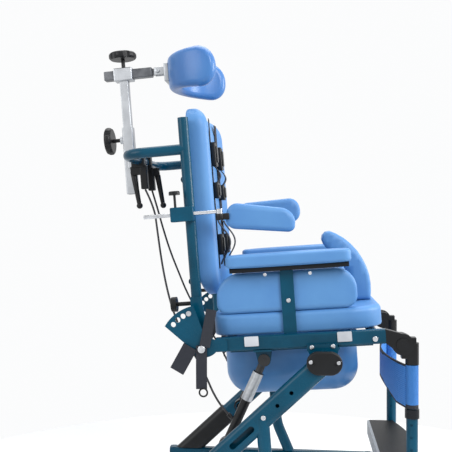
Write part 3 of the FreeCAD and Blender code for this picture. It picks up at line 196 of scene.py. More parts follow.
def cushion(name, points, plane, start, thick, rim, crown, step=0.012, steps=6):
    # the outline is drawn out to its thickness, its rims are rounded and both faces swell a little
    piece = drawnOut(name, points, plane, start, thick)
    axis = depthAxis[plane]
    other = Vector((0, axis.z, axis.y))
    selectEdges(piece, bothRims(axis))
    bpy.ops.mesh.bevel(offset=rim, segments=steps, profile=0.5, affect="EDGES", clamp_overlap=True)
    spans = []
    for direction, values in ((Vector((1, 0, 0)), [p[0] for p in points]), (other, [p[1] for p in points])):
        sliced(direction, min(values), max(values), step)
        spans.append((direction, (min(values) + max(values)) / 2, (max(values) - min(values)) / 2))
    bpy.ops.object.mode_set(mode="OBJECT")
    for vertex in piece.data.vertices:
        depth = vertex.co.dot(axis) - start
        swell = crown
        for direction, middle, half in spans:
            swell *= 1 - min(1.0, abs((vertex.co.dot(direction) - middle) / half)) ** 4
        if depth > thick - flush:
            vertex.co += axis * swell
        elif depth < flush:
            vertex.co -= axis * swell
    smooth(piece, 50)
    return piece


def fromScreen(*tone):  # screen values from 0 to 255 as linear light
    light = [((c / 255 + 0.055) / 1.055) ** 2.4 if c > 10 else c / 255 / 12.92 for c in tone]
    return (*light, 1.0)


def newGroup(name, inputs, outputs):
    group = bpy.data.node_groups.new(name, "ShaderNodeTree")
    for label, kind in inputs:
        group.interface.new_socket(name=label, in_out="INPUT", socket_type=kind)
    for label, kind in outputs:
        group.interface.new_socket(name=label, in_out="OUTPUT", socket_type=kind)
    start = group.nodes.new("NodeGroupInput")
    end = group.nodes.new("NodeGroupOutput")
    return group, start, end


def colourDriftGroup():  # slow blotches that take a colour a little darker and lighter
    group, start, end = newGroup(
        "colourDrift",
        [("Vector", "NodeSocketVector"), ("Dark", "NodeSocketColor"), ("Light", "NodeSocketColor"),
         ("Size", "NodeSocketFloat")],
        [("Color", "NodeSocketColor")],
    )
    noise = group.nodes.new("ShaderNodeTexNoise")
    noise.inputs["Detail"].default_value = 4.0
    noise.inputs["Roughness"].default_value = 0.55
    ramp = group.nodes.new("ShaderNodeValToRGB")
    ramp.color_ramp.elements[0].position = 0.3
    ramp.color_ramp.elements[1].position = 0.7
    mix = group.nodes.new("ShaderNodeMix")
    mix.data_type = "RGBA"
    link = group.links.new
    link(start.outputs["Vector"], noise.inputs["Vector"])
    link(start.outputs["Size"], noise.inputs["Scale"])
    link(noise.outputs["Fac"], ramp.inputs["Fac"])
    link(ramp.outputs["Color"], mix.inputs["Factor"])
    link(start.outputs["Dark"], mix.inputs["A"])
    link(start.outputs["Light"], mix.inputs["B"])
    link(mix.outputs["Result"], end.inputs["Color"])
    return group


def skinGrainGroup():  # fine pebbles, with a height for the bump and a roughness that follows it
    group, start, end = newGroup(
        "skinGrain",
        [("Vector", "NodeSocketVector"), ("Size", "NodeSocketFloat"), ("Rough Low", "NodeSocketFloat"),
         ("Rough High", "NodeSocketFloat")],
        [("Height", "NodeSocketFloat"), ("Roughness", "NodeSocketFloat")],
    )
    cells = group.nodes.new("ShaderNodeTexVoronoi")
    cells.feature = "SMOOTH_F1"
    noise = group.nodes.new("ShaderNodeTexNoise")
    noise.inputs["Detail"].default_value = 3.0
    blend = group.nodes.new("ShaderNodeMath")
    blend.operation = "MULTIPLY_ADD"
    blend.inputs[1].default_value = 0.6
    span = group.nodes.new("ShaderNodeMapRange")
    span.inputs["From Min"].default_value = 0.3
    span.inputs["From Max"].default_value = 0.7
    link = group.links.new
    link(start.outputs["Vector"], cells.inputs["Vector"])
    link(start.outputs["Vector"], noise.inputs["Vector"])
    link(start.outputs["Size"], cells.inputs["Scale"])
    link(start.outputs["Size"], noise.inputs["Scale"])
    link(cells.outputs["Distance"], blend.inputs[0])
    link(noise.outputs["Fac"], blend.inputs[2])
    link(blend.outputs["Value"], end.inputs["Height"])
    link(noise.outputs["Fac"], span.inputs["Value"])
    link(start.outputs["Rough Low"], span.inputs["To Min"])
    link(start.outputs["Rough High"], span.inputs["To Max"])
    link(span.outputs["Result"], end.inputs["Roughness"])
    return group


def beyondGroup():  # one on the far side of a plane, nought on the near side
    group, start, end = newGroup(
        "beyond",
        [("Vector", "NodeSocketVector"), ("Normal", "NodeSocketVector"), ("Level", "NodeSocketFloat")],
        [("Mask", "NodeSocketFloat")],
    )
    along = group.nodes.new("ShaderNodeVectorMath")
    along.operation = "DOT_PRODUCT"
    past = group.nodes.new("ShaderNodeMath")
    past.operation = "GREATER_THAN"
    link = group.links.new
    link(start.outputs["Vector"], along.inputs[0])
    link(start.outputs["Normal"], along.inputs[1])
    link(along.outputs["Value"], past.inputs[0])
    link(start.outputs["Level"], past.inputs[1])
    link(past.outputs["Value"], end.inputs["Mask"])
    return group


colourDrift = colourDriftGroup()
beyond = beyondGroup()
skinGrain = skinGrainGroup()


def finish(name, dark, light, driftSize, grainSize, rough, bump, second=None, **sockets):
    material = bpy.data.materials.new(name)
    material.use_nodes = True
    tree = material.node_tree
    link = tree.links.new
    shader = tree.nodes["Principled BSDF"]
    where = tree.nodes.new("ShaderNodeTexCoord")
    drift = tree.nodes.new("ShaderNodeGroup")
    drift.node_tree = colourDrift
    drift.inputs["Dark"].default_value = fromScreen(*dark)
    drift.inputs["Light"].default_value = fromScreen(*light)
    drift.inputs["Size"].default_value = driftSize
    grain = tree.nodes.new("ShaderNodeGroup")
    grain.node_tree = skinGrain
    grain.inputs["Size"].default_value = grainSize
    grain.inputs["Rough Low"].default_value = rough[0]
    grain.inputs["Rough High"].default_value = rough[1]
    relief = tree.nodes.new("ShaderNodeBump")
    relief.inputs["Strength"].default_value = bump[0]
    relief.inputs["Distance"].default_value = bump[1]
    link(where.outputs["Object"], drift.inputs["Vector"])
    link(where.outputs["Object"], grain.inputs["Vector"])
    link(drift.outputs["Color"], shader.inputs["Base Color"])
    link(grain.outputs["Roughness"], shader.inputs["Roughness"])
    link(grain.outputs["Height"], relief.inputs["Height"])
    link(relief.outputs["Normal"], shader.inputs["Normal"])
    for label, value in sockets.items():
        shader.inputs[label.replace("_", " ")].default_value = value
    if second:  # another colour past a plane through a point
        mask = tree.nodes.new("ShaderNodeGroup")
        mask.node_tree = beyond
        normal = Vector(second["normal"])
        mask.inputs["Normal"].default_value = normal
        mask.inputs["Level"].default_value = normal.dot(Vector(second["point"]))
        mix = tree.nodes.new("ShaderNodeMix")
        mix.data_type = "RGBA"
        mix.inputs["B"].default_value = fromScreen(*second["colour"])
        link(where.outputs["Object"], mask.inputs["Vector"])
        link(mask.outputs["Mask"], mix.inputs["Factor"])
        link(drift.outputs["Color"], mix.inputs["A"])
        link(mix.outputs["Result"], shader.inputs["Base Color"])
        if "metal" in second:
            span = tree.nodes.new("ShaderNodeMapRange")
            span.inputs["To Min"].default_value = second["metal"][0]
            span.inputs["To Max"].default_value = second["metal"][1]
            link(mask.outputs["Mask"], span.inputs["Value"])
            link(span.outputs["Result"], shader.inputs["Metallic"])
    return material


# name, darker and lighter tone, scale of the blotches and the grain, roughness range, bump strength and depth
tealTones = (0, 56, 76), (2, 76, 102)
padFoam = finish("padFoam", (74, 128, 188), (90, 145, 199), 6, 900, (0.42, 0.55), (0.12, 0.0006))
# the head pad is the same blue foam made darker and glossier; its darker tone is painted shade
headFoamShaded = finish("headFoamShaded", (54, 106, 172), (70, 126, 188), 6, 900, (0.28, 0.38), (0.08, 0.0005))
tealCoat = finish("tealCoat", *tealTones, 9, 700, (0.18, 0.3), (0.06, 0.0004), Specular_IOR_Level=0.22)
blackMould = finish("blackMould", (6, 7, 9), (15, 17, 20), 30, 1500, (0.3, 0.46), (0.12, 0.0004),
                    Specular_IOR_Level=0.3)
greyMould = finish("greyMould", (178, 182, 188), (202, 205, 210), 20, 900, (0.38, 0.5), (0.1, 0.0004))
satinMetal = finish("satinMetal", (160, 163, 167), (184, 187, 191), 22, 1200, (0.32, 0.46), (0.05, 0.0003),
                    Metallic=1.0)
barMetal = finish("barMetal", (84, 86, 90), (112, 114, 118), 60, 1200, (0.36, 0.48), (0.05, 0.0003),
                  Metallic=0.8)
plated = finish("plated", (176, 178, 182), (216, 218, 222), 60, 1200, (0.14, 0.3), (0.05, 0.0003),
                Metallic=1.0)
panMould = finish("panMould", (52, 104, 160), (72, 128, 182), 8, 600, (0.3, 0.42), (0.06, 0.0004))
tyreRubber = finish("tyreRubber", (84, 86, 90), (104, 106, 110), 40, 1100, (0.6, 0.75), (0.2, 0.0005))
cableSheath = finish("cableSheath", (22, 22, 25), (34, 34, 38), 60, 1500, (0.4, 0.5), (0.1, 0.0003))

# nodes with a second colour past a plane: arm bar, spring sleeve, leg collar, and the tread's rear edge, whose
# light band is a painted highlight
colourLine = {"armBar": 0.2046, "springFoot": (-0.22476, 0, -0.2096), "springLean": 66, "sleeveEnd": 0.1845,
              "legCollar": -0.1322, "treadRear": 0.1345}
seatUp = seatPlace.to_3x3() @ Vector((0, 0, 1))
springLean = math.radians(colourLine["springLean"])
springWay = Vector((math.cos(springLean), 0, math.sin(springLean)))
sleeveEnd = Vector(colourLine["springFoot"]) + springWay * colourLine["sleeveEnd"]
armPart = {"normal": seatUp, "point": seatPlace @ Vector((0, 0, colourLine["armBar"])), "colour": (20, 22, 26)}
sleevePart = {"normal": springWay, "point": basePlace @ sleeveEnd, "colour": (24, 25, 28), "metal": (0.6, 0.0)}
collarPart = {"normal": (0, 0, 1), "point": basePlace @ Vector((0, 0, colourLine["legCollar"])),
              "colour": (24, 27, 32)}
# the light band along the footplate's rear edge is a painted highlight: the glint on the black tread's rounded rim
treadRimHighlight = {"normal": (-1, 0, 0), "point": basePlace @ Vector((colourLine["treadRear"], 0, 0)),
             "colour": (150, 155, 160)}
armStay = finish("armStay", *tealTones, 9, 700, (0.26, 0.4), (0.08, 0.0004), armPart, Specular_IOR_Level=0.2)
springSleeve = finish("springSleeve", (150, 154, 158), (190, 193, 197), 60, 1200, (0.3, 0.42), (0.05, 0.0003),
                      sleevePart)
legCollar = finish("legCollar", *tealTones, 9, 700, (0.24, 0.36), (0.08, 0.0004), collarPart,
                   Specular_IOR_Level=0.2)
treadMould = finish("treadMould", (7, 8, 10), (15, 16, 19), 30, 500, (0.42, 0.55), (0.4, 0.0008), treadRimHighlight,
                    Specular_IOR_Level=0.3)
print("finishes ready")


def paint(piece, material):
    piece.data.materials.clear()
    piece.data.materials.append(material)


slotFinish = {
    "teal_powder_coat": tealCoat,
    "black_plastic": blackMould,
    "blue_foam": padFoam,
    "blue_mesh": padFoam,
    "pan_plastic": panMould,
    "light_grey_plastic": greyMould,
    "plated_steel": plated,
    "satin_aluminium": satinMetal,
    "dark_webbing": blackMould,
    "cable_sheath": cableSheath,
    "castor_tyre": tyreRubber,
}
for subpart in frame["record"]["subparts"]:
    paint(nodes[subpart["node"]], slotFinish[subpart["material_slot"]])
nodeFinish = {
    "arm_support_right": armStay,
    "arm_support_left": armStay,
    "gas_spring_rods": springSleeve,
    "leg_lowers": legCollar,
    "footplate": treadMould,
    "headrest_bar": barMetal,
}
for node, material in nodeFinish.items():
    paint(nodes[node], material)


def dress(piece, material, slot, body, *stood):  # finish, slot (not used), carrier and the solids it stands for
    paint(piece, material)
    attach(piece, body)
    if stood:
        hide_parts(*stood)
    return piece


seatPad = {"rear": -0.247, "front": 0.141, "half": 0.207, "low": 0.0612, "thick": 0.049, "rearCorner": 0.038,
           "frontCorner": 0.072, "holeRear": -0.1875, "holeFront": 0.0475, "holeHalf": 0.095,
           "holeCorner": 0.0874, "rim": 0.013, "lip": 0.008, "under": 0.005, "underSoft": 0.3, "dip": 0.004,
           "rise": 0.007, "riseReach": 0.05, "riseAbove": 0.02, "rimSteps": 8, "topSteps": 12, "lipSteps": 6,
           "around": 240, "halvings": 40}


def reachOf(way, centre, rear, front, half, rearCorner, frontCorner):  # from a centre out to a rounded outline
    near, far = 0.0, 1.0
    for halving in range(seatPad["halvings"]):
        middle = (near + far) / 2
        x, y = centre + way[0] * middle, abs(way[1] * middle)
        corner = rearCorner if x < centre else frontCorner
        over = max(rear + corner - x, x - front + corner, 0.0), max(y - half + corner, 0.0)
        inside = math.hypot(*over) < corner and rear < x < front and y < half
        near, far = (middle, far) if inside else (near, middle)
    return near


def seatSection():  # round the pad's section: share of the way out, metres added, height
    s = seatPad
    low, top = s["low"], s["low"] + s["thick"]
    rim, lip, under = s["rim"], s["lip"], s["under"]
    soft = under * s["underSoft"]
    ring = []
    for i in range(s["rimSteps"] + 1):
        a = math.radians(90 * i / s["rimSteps"])
        ring.append((1, rim * (math.cos(a) - 1), top - rim * (1 - math.sin(a))))
    for i in range(1, s["topSteps"]):
        inward = i / s["topSteps"]
        ring.append((1 - inward, -rim * (1 - inward) + lip * i / s["topSteps"], top))
    for i in range(s["lipSteps"] + 1):
        a = math.radians(90 * i / s["lipSteps"])
        ring.append((0, lip * (1 - math.sin(a)), top - lip * (1 - math.cos(a))))
    ring += [(0, 0, low + under), (0, soft, low + soft), (0, under, low)]
    ring += [(0.33, 0, low), (0.66, 0, low)]
    ring += [(1, -under, low), (1, -soft, low + soft), (1, 0, low + under)]
    return ring


def makeSeatPad():
    s = seatPad
    low, top = s["low"], s["low"] + s["thick"]
    ring = seatSection()
    around = s["around"]
    deselect()
    bpy.ops.mesh.primitive_torus_add(major_segments=around, minor_segments=len(ring))
    piece = bpy.context.object
    piece.name = "seatPad"
    centre = (s["holeRear"] + s["holeFront"]) / 2
    holeSize = s["holeRear"], s["holeFront"], s["holeHalf"], s["holeCorner"], s["holeCorner"]
    edgeSize = s["rear"], s["front"], s["half"], s["rearCorner"], s["frontCorner"]
    for i in range(around):
        way = math.cos(math.tau * i / around), math.sin(math.tau * i / around)
        hole = reachOf(way, centre, *holeSize)
        edge = reachOf(way, centre, *edgeSize)
        for j, (share, added, z) in enumerate(ring):
            out = hole + share * (edge - hole) + added
            x, y = centre + way[0] * out, way[1] * out
            if z > top - flush:
                z -= s["dip"] * max(0.0, 1 - share) ** 2
            if z > low + s["riseAbove"]:  # the rear edge stands up a little
                z += s["rise"] * max(0.0, (s["rear"] + s["riseReach"] - x) / s["riseReach"]) ** 2
            piece.data.vertices[i * len(ring) + j].co = (x, y, z)
    faceOut(piece)
    smooth(piece, 50)
    settle(piece, seatPlace)
    dress(piece, padFoam, "blue_foam", "seat", "seat_pad")


makeSeatPad()

sidePanel = {"rear": -0.236, "front": 0.086, "low": 0.1105, "high": 0.2035, "inner": 0.185, "thick": 0.022,
             "corners": (0.022, 0.028, 0.05, 0.058), "rim": 0.008, "crown": 0.0015}


def makeSidePanels():
    s = sidePanel
    outline = roundedOutline(s["rear"], s["front"], s["low"], s["high"], s["corners"], 10)
    left = cushion("sidePanelLeft", outline, "XZ", s["inner"], s["thick"], s["rim"], s["crown"])
    right = flipped(left, "sidePanelRight")
    both = joinPieces([right, left], "sidePanels")
    settle(both, seatPlace)
    dress(both, padFoam, "blue_foam", "seat", "side_panels")


makeSidePanels()

armPad = {"rear": -0.206, "length": 0.282, "y": 0.222, "width": 0.058, "top": 0.245, "thick": 0.028,
          "corner": 0.018, "rim": 0.007, "crown": 0.002}


def makeArmPads():
    s = armPad
    half = s["width"] / 2
    for side, sign in (("right", -1), ("left", 1)):
        y = sign * s["y"]
        outline = roundedOutline(s["rear"], s["rear"] + s["length"], y - half, y + half, [s["corner"]] * 4)
        under = s["top"] - s["thick"]
        piece = cushion("armPad" + side.title(), outline, "XY", under, s["thick"], s["rim"], s["crown"])
        settle(piece, seatPlace)
        dress(piece, padFoam, "blue_foam", "arm_" + side, "arm_pad_" + side)


makeArmPads()

splashGuard = {"front": 0.129, "low": 0.1105, "width": 0.116, "rim": 0.016, "crown": 0.002}


def makeSplashGuard():
    s = splashGuard
    f, z = s["front"], s["low"]
    profile = [  # the horn's side, from its front foot up over the crest and back down inside the curl
        (f - 0.003, z), (f - 0.0005, z + 0.02), (f, z + 0.04), (f - 0.002, z + 0.06), (f - 0.007, z + 0.08),
        (f - 0.015, z + 0.100), (f - 0.026, z + 0.120), (f - 0.041, z + 0.139), (f - 0.058, z + 0.155),
        (f - 0.076, z + 0.167), (f - 0.090, z + 0.174), (f - 0.101, z + 0.1725), (f - 0.109, z + 0.165),
        (f - 0.112, z + 0.154), (f - 0.108, z + 0.142), (f - 0.100, z + 0.130), (f - 0.088, z + 0.119),
        (f - 0.076, z + 0.107), (f - 0.066, z + 0.094), (f - 0.058, z + 0.078), (f - 0.053, z + 0.062),
        (f - 0.052, z + 0.044), (f - 0.054, z + 0.026), (f - 0.058, z + 0.012), (f - 0.064, z),
    ]
    piece = cushion("splashGuard", profile, "XZ", -s["width"] / 2, s["width"], s["rim"], s["crown"])
    settle(piece, seatPlace)
    dress(piece, padFoam, "blue_foam", "seat", "splash_guard")


makeSplashGuard()
print("seat cushions made")

backPad = {"rear": -0.010, "thick": 0.040, "half": 0.165, "low": 0.112, "high": 0.564, "wing": 0.012,
           "wingEdge": 0.022, "rim": 0.020, "rearRim": 0.006, "corner": 0.044, "cutAcross": 0.014,
           "cutUp": 0.05, "footReach": 0.075, "footDraw": 0.020, "headReach": 0.06, "headSlope": 0.014}


def makeBackPad():
    s = backPad
    outline = roundedOutline(-s["half"], s["half"], s["low"], s["high"], [s["corner"]] * 4)
    piece = drawnOut("backPad", outline, "XZ", 0, s["thick"])
    selectEdges(piece, oneRim(depthAxis["XZ"], s["thick"]))
    bpy.ops.mesh.bevel(offset=s["rim"], segments=7, profile=0.5, affect="EDGES")
    selectEdges(piece, oneRim(depthAxis["XZ"], 0))
    bpy.ops.mesh.bevel(offset=s["rearRim"], segments=3, profile=0.5, affect="EDGES")
    sliced(Vector((1, 0, 0)), -s["half"], s["half"], s["cutAcross"])
    sliced(Vector((0, 0, 1)), s["low"], s["high"], s["cutUp"])
    bpy.ops.object.mode_set(mode="OBJECT")
    for vertex in piece.data.vertices:
        across, out, up = vertex.co
        depth = max(0.0, min(1.0, out / s["thick"]))
        lift = s["wing"] * depth * min(1.0, (across / (s["half"] - s["wingEdge"])) ** 2)
        foot = max(0.0, 1 - (up - s["low"]) / s["footReach"]) ** 2  # drawn forward, while the head slopes back
        head = max(0.0, 1 - (s["high"] - up) / s["headReach"]) ** 2
        lift += s["footDraw"] * foot * (1 - depth) - s["headSlope"] * head * depth
        vertex.co = (s["rear"] + out + lift, across, up)
    faceOut(piece)
    smooth(piece, 50)
    settle(piece, backPlace)
    dress(piece, padFoam, "blue_foam", "back", "back_pad")


makeBackPad()

headPad = {"rear": -0.068, "outerRadius": 0.119, "thick": 0.036, "wingThick": 0.027, "wrap": 99, "low": 0.614,
           "high": 0.722, "rim": 0.0165, "corner": 0.052, "cut": 0.012, "arch": 0.17, "dome": 0.009,
           "domeReach": 0.012}


def makeHeadPad():
    s = headPad
    arc = math.radians(s["wrap"]) * s["outerRadius"]
    outline = roundedOutline(-arc, arc, s["low"], s["high"], [s["corner"]] * 4, 9)
    piece = drawnOut("headPad", outline, "XZ", 0, s["thick"])
    selectEdges(piece, bothRims(depthAxis["XZ"]))
    bpy.ops.mesh.bevel(offset=s["rim"], segments=6, profile=0.5, affect="EDGES")
    sliced(Vector((1, 0, 0)), -arc, arc, s["cut"])  # so that the flat cushion can wrap round
    bpy.ops.object.mode_set(mode="OBJECT")
    middle = (s["low"] + s["high"]) / 2
    centre = s["rear"] + s["outerRadius"]
    for vertex in piece.data.vertices:
        along, out, up = vertex.co
        turn = along / s["outerRadius"]
        wingShare = (along / arc) ** 2
        thin = 1 - (1 - s["wingThick"] / s["thick"]) * (abs(along) / arc) ** 2
        dome = 1 - min(1.0, abs(up - middle) / (s["high"] - middle)) ** 2  # the outer face swells on its wings
        swell = s["dome"] * dome * wingShare * max(0.0, 1 - out / s["domeReach"])
        radius = s["outerRadius"] - out * thin + swell
        up = s["high"] - (s["high"] - up) * (1 - s["arch"] * (1 - wingShare))  # the middle is less tall
        vertex.co = (centre - radius * math.cos(turn), radius * math.sin(turn), up)
    faceOut(piece)
    smooth(piece, 50)
    settle(piece, backPlace)
    dress(piece, headFoamShaded, "blue_foam", "head_pad", "headrest_pad")


makeHeadPad()

sidePad = {"start": 0.074, "length": 0.160, "centre": 0.295, "inner": 0.180, "thick": 0.024, "rim": 0.008,
           "crown": 0.002, "rearHeight": {"right": 0.061, "left": 0.060},
           "frontHeight": {"right": 0.053, "left": 0.068},
           "corners": {"right": (0.024, 0.016, 0.036, 0.026), "left": (0.020, 0.026, 0.030, 0.020)},
           "more": {"right": 0.0, "left": 0.008},
           "dip": {"right": 9.0, "left": 0.0}, "lift": {"right": 0.003, "left": 0.012}}
padLug = {"u": 0.060, "y": 0.206, "low": 0.288, "high": 0.3027, "radius": 0.009, "reach": 0.022,
          "inward": 0.014, "outward": 0.004, "rim": 0.002}


def block(low, high, rim):  # a box between two corners with rounded edges
    deselect()
    middle = [(a + b) / 2 for a, b in zip(low, high)]
    bpy.ops.mesh.primitive_cube_add(size=1, location=middle)
    piece = bpy.context.object
    bpy.ops.transform.resize(value=[b - a for a, b in zip(low, high)])
    bpy.ops.object.transform_apply(location=True, rotation=True, scale=True)
    applyModifier(piece, "BEVEL", width=rim, segments=3, limit_method="NONE")
    smooth(piece, 40)
    return piece


def barrel(start, end, radius, rim=0.0008, sides=32):  # a round bar between two points
    deselect()
    start, end = Vector(start), Vector(end)
    bpy.ops.mesh.primitive_cylinder_add(vertices=sides, radius=radius, depth=(end - start).length)
    piece = bpy.context.object
    applyModifier(piece, "BEVEL", width=rim, segments=2, limit_method="ANGLE", angle_limit=sharp)
    smooth(piece, 40)
    turn = (end - start).to_track_quat("Z", "Y").to_matrix().to_4x4()
    return settle(piece, Matrix.Translation((start + end) / 2) @ turn)


def makeSidePads():
    s, g = sidePad, padLug
    x0, x1 = s["start"], s["start"] + s["length"]
    for side in ("right", "left"):
        rear, front = s["rearHeight"][side], s["frontHeight"][side]
        outline = roundedOutline(x0, x1 + s["more"][side], -rear / 2, rear / 2, s["corners"][side], 9)
        outline = [(x, z * (1 + (front / rear - 1) * (x - x0) / s["length"])) for x, z in outline]
        piece = cushion("sidePad" + side.title(), outline, "XZ", s["inner"], s["thick"], s["rim"], s["crown"])
        hinge = Matrix.Translation((0, 0, s["lift"][side] + s["centre"]))
        at = Matrix.Translation((s["start"], 0, 0))
        settle(piece, hinge @ at @ Matrix.Rotation(math.radians(s["dip"][side]), 4, "Y") @ at.inverted())
        eye = barrel((g["u"], g["y"], g["low"]), (g["u"], g["y"], g["high"]), g["radius"])
        tongue = block((g["u"], g["y"] - g["inward"], g["low"]),
                       (g["u"] + g["reach"], g["y"] + g["outward"], g["high"]), g["rim"])
        lug = joinPieces([eye, tongue], "padLug" + side.title())
        if side == "right":
            mirror(piece)
            mirror(lug)
        settle(piece, backPlace)
        settle(lug, backPlace)
        dress(piece, padFoam, "blue_foam", "trunk_pad_" + side, "lateral_pad_" + side)
        dress(lug, blackMould, "black_plastic", "trunk_pad_" + side)


makeSidePads()

leverGrip = {"top": 0.430, "tip": 0.344, "splay": 0.010, "y": 0.042, "u": {"right": -0.173, "left": -0.128},
             "wide": 0.0078, "flat": 0.0056, "neck": 0.72, "rim": 0.002, "topShare": 0.05, "tipShare": 0.93,
             "topInset": 0.004, "tipInset": 0.005}


def makeLeverGrips():  # moulded grips over the levers, flatter across than along
    s = leverGrip
    for side, sign in (("right", -1), ("left", 1)):
        y = sign * s["y"]
        start = Vector((s["u"][side] + s["splay"] * s["topShare"], y, s["top"] - s["topInset"]))
        end = Vector((s["u"][side] + s["splay"] * s["tipShare"], y, s["tip"] + s["tipInset"]))
        deselect()
        bpy.ops.mesh.primitive_cone_add(vertices=32, radius1=s["wide"], radius2=s["wide"] * s["neck"],
                                        depth=(end - start).length)
        grip = bpy.context.object
        bpy.ops.object.mode_set(mode="EDIT")
        bpy.ops.mesh.select_all(action="SELECT")
        bpy.ops.transform.resize(value=(1, s["flat"] / s["wide"], 1))
        bpy.ops.object.mode_set(mode="OBJECT")
        applyModifier(grip, "BEVEL", width=s["rim"], segments=3, limit_method="ANGLE", angle_limit=sharp)
        smooth(grip, 40)
        grip.name = "leverGrip" + side.title()
        lean = Matrix.Rotation(math.radians(180) - math.atan2(end.x - start.x, start.z - end.z), 4, "Y")
        settle(grip, backPlace @ Matrix.Translation((start + end) / 2) @ lean)
        dress(grip, blackMould, "black_plastic", "lever_" + side)


makeLeverGrips()

headPlate = {"rear": -0.076, "front": -0.064, "half": 0.030, "low": 0.659, "high": 0.705, "hingeU": -0.096,
             "hingeW": 0.691, "earIn": 0.0063, "earOut": 0.0118, "earRear": 0.009, "earHalf": 0.010,
             "earLap": 0.002, "pin": 0.006, "pinHalf": 0.0165, "rim": 0.0015, "earRim": 0.0012,
             "pinRim": 0.001}


def makeHeadPlate():
    s = headPlate
    parts = [block((s["rear"], -s["half"], s["low"]), (s["front"], s["half"], s["high"]), s["rim"])]
    for sign in (-1, 1):
        ys = sorted((sign * s["earIn"], sign * s["earOut"]))
        parts.append(block((s["hingeU"] - s["earRear"], ys[0], s["hingeW"] - s["earHalf"]),
                           (s["rear"] + s["earLap"], ys[1], s["hingeW"] + s["earHalf"]), s["earRim"]))
        pinStart = s["hingeU"], sign * s["earOut"], s["hingeW"]
        pinEnd = s["hingeU"], sign * s["pinHalf"], s["hingeW"]
        parts.append(barrel(pinStart, pinEnd, s["pin"], s["pinRim"], 6))  # a hexagon head
    plate = joinPieces(parts, "headPlate")
    settle(plate, backPlace)
    dress(plate, satinMetal, "satin_aluminium", "head_pad")


makeHeadPlate()
print("back cushions made")


def clothGroup():  # crossing threads on a map in metres
    group, start, end = newGroup(
        "crossedThreads",
        [("Vector", "NodeSocketVector"), ("Across", "NodeSocketFloat"), ("Along", "NodeSocketFloat")],
        [("Height", "NodeSocketFloat"), ("Mask", "NodeSocketFloat")],
    )
    link = group.links.new
    waves = []
    for label, direction in (("Across", "X"), ("Along", "Y")):
        wave = group.nodes.new("ShaderNodeTexWave")
        wave.bands_direction = direction
        wave.inputs["Distortion"].default_value = 0.4
        link(start.outputs["Vector"], wave.inputs["Vector"])
        link(start.outputs[label], wave.inputs["Scale"])
        waves.append(wave)
    both = group.nodes.new("ShaderNodeMath")
    both.operation = "MULTIPLY"
    either = group.nodes.new("ShaderNodeMath")
    either.operation = "ADD"
    for i, wave in enumerate(waves):
        link(wave.outputs["Fac"], both.inputs[i])
        link(wave.outputs["Fac"], either.inputs[i])
    link(either.outputs["Value"], end.inputs["Height"])
    link(both.outputs["Value"], end.inputs["Mask"])
    return group


crossedThreads = clothGroup()
threadDepth = 0.0005


def cloth(name, dark, light, across, along, rough, bump):
    material = bpy.data.materials.new(name)
    material.use_nodes = True
    tree = material.node_tree
    link = tree.links.new
    shader = tree.nodes["Principled BSDF"]
    where = tree.nodes.new("ShaderNodeTexCoord")
    threads = tree.nodes.new("ShaderNodeGroup")
    threads.node_tree = crossedThreads
    threads.inputs["Across"].default_value = across
    threads.inputs["Along"].default_value = along
    mix = tree.nodes.new("ShaderNodeMix")
    mix.data_type = "RGBA"
    mix.inputs["A"].default_value = fromScreen(*dark)
    mix.inputs["B"].default_value = fromScreen(*light)
    relief = tree.nodes.new("ShaderNodeBump")
    relief.inputs["Strength"].default_value = bump
    relief.inputs["Distance"].default_value = threadDepth
    link(where.outputs["UV"], threads.inputs["Vector"])
    link(threads.outputs["Mask"], mix.inputs["Factor"])
    link(mix.outputs["Result"], shader.inputs["Base Color"])
    link(threads.outputs["Height"], relief.inputs["Height"])
    link(relief.outputs["Normal"], shader.inputs["Normal"])
    shader.inputs["Roughness"].default_value = rough
    return material


darkWebbing = cloth("darkWebbing", (18, 21, 30), (44, 49, 62), 300, 130, 0.75, 0.5)
blueMesh = cloth("blueMesh", (40, 108, 186), (80, 154, 228), 70, 70, 0.7, 0.6)


def strip(name, width, length, counts, lay, thick):  # a flat strip laid point by point; its map is in metres
    deselect()
    bpy.ops.mesh.primitive_grid_add(x_subdivisions=counts[0], y_subdivisions=counts[1], size=1)
    piece = bpy.context.object
    piece.name = name
    flat = [(v.co.x * width, v.co.y * length) for v in piece.data.vertices]
    uv = piece.data.uv_layers.active.data
    for loop in piece.data.loops:
        uv[loop.index].uv = flat[loop.vertex_index]
    for vertex, (a, b) in zip(piece.data.vertices, flat):
        vertex.co = lay(a, b)
    applyModifier(piece, "SOLIDIFY", thickness=thick, offset=0)
    faceOut(piece)
    smooth(piece, 60)
    return piece


calfBand = {"x": 0.186, "half": 0.200, "bow": 0.034, "top": -0.013, "bottom": -0.110, "scallop": 0.026,
            "scallopHalf": 0.152, "thick": 0.004, "edge": 0.005, "area": 0.0362, "sleeve": 0.0142,
            "sleeveX": 0.197, "sleeveThick": 0.002}


def scallopAt(y):  # how far the lower edge is cut up
    return calfBand["scallop"] * max(0.0, 1 - (y / calfBand["scallopHalf"]) ** 2)


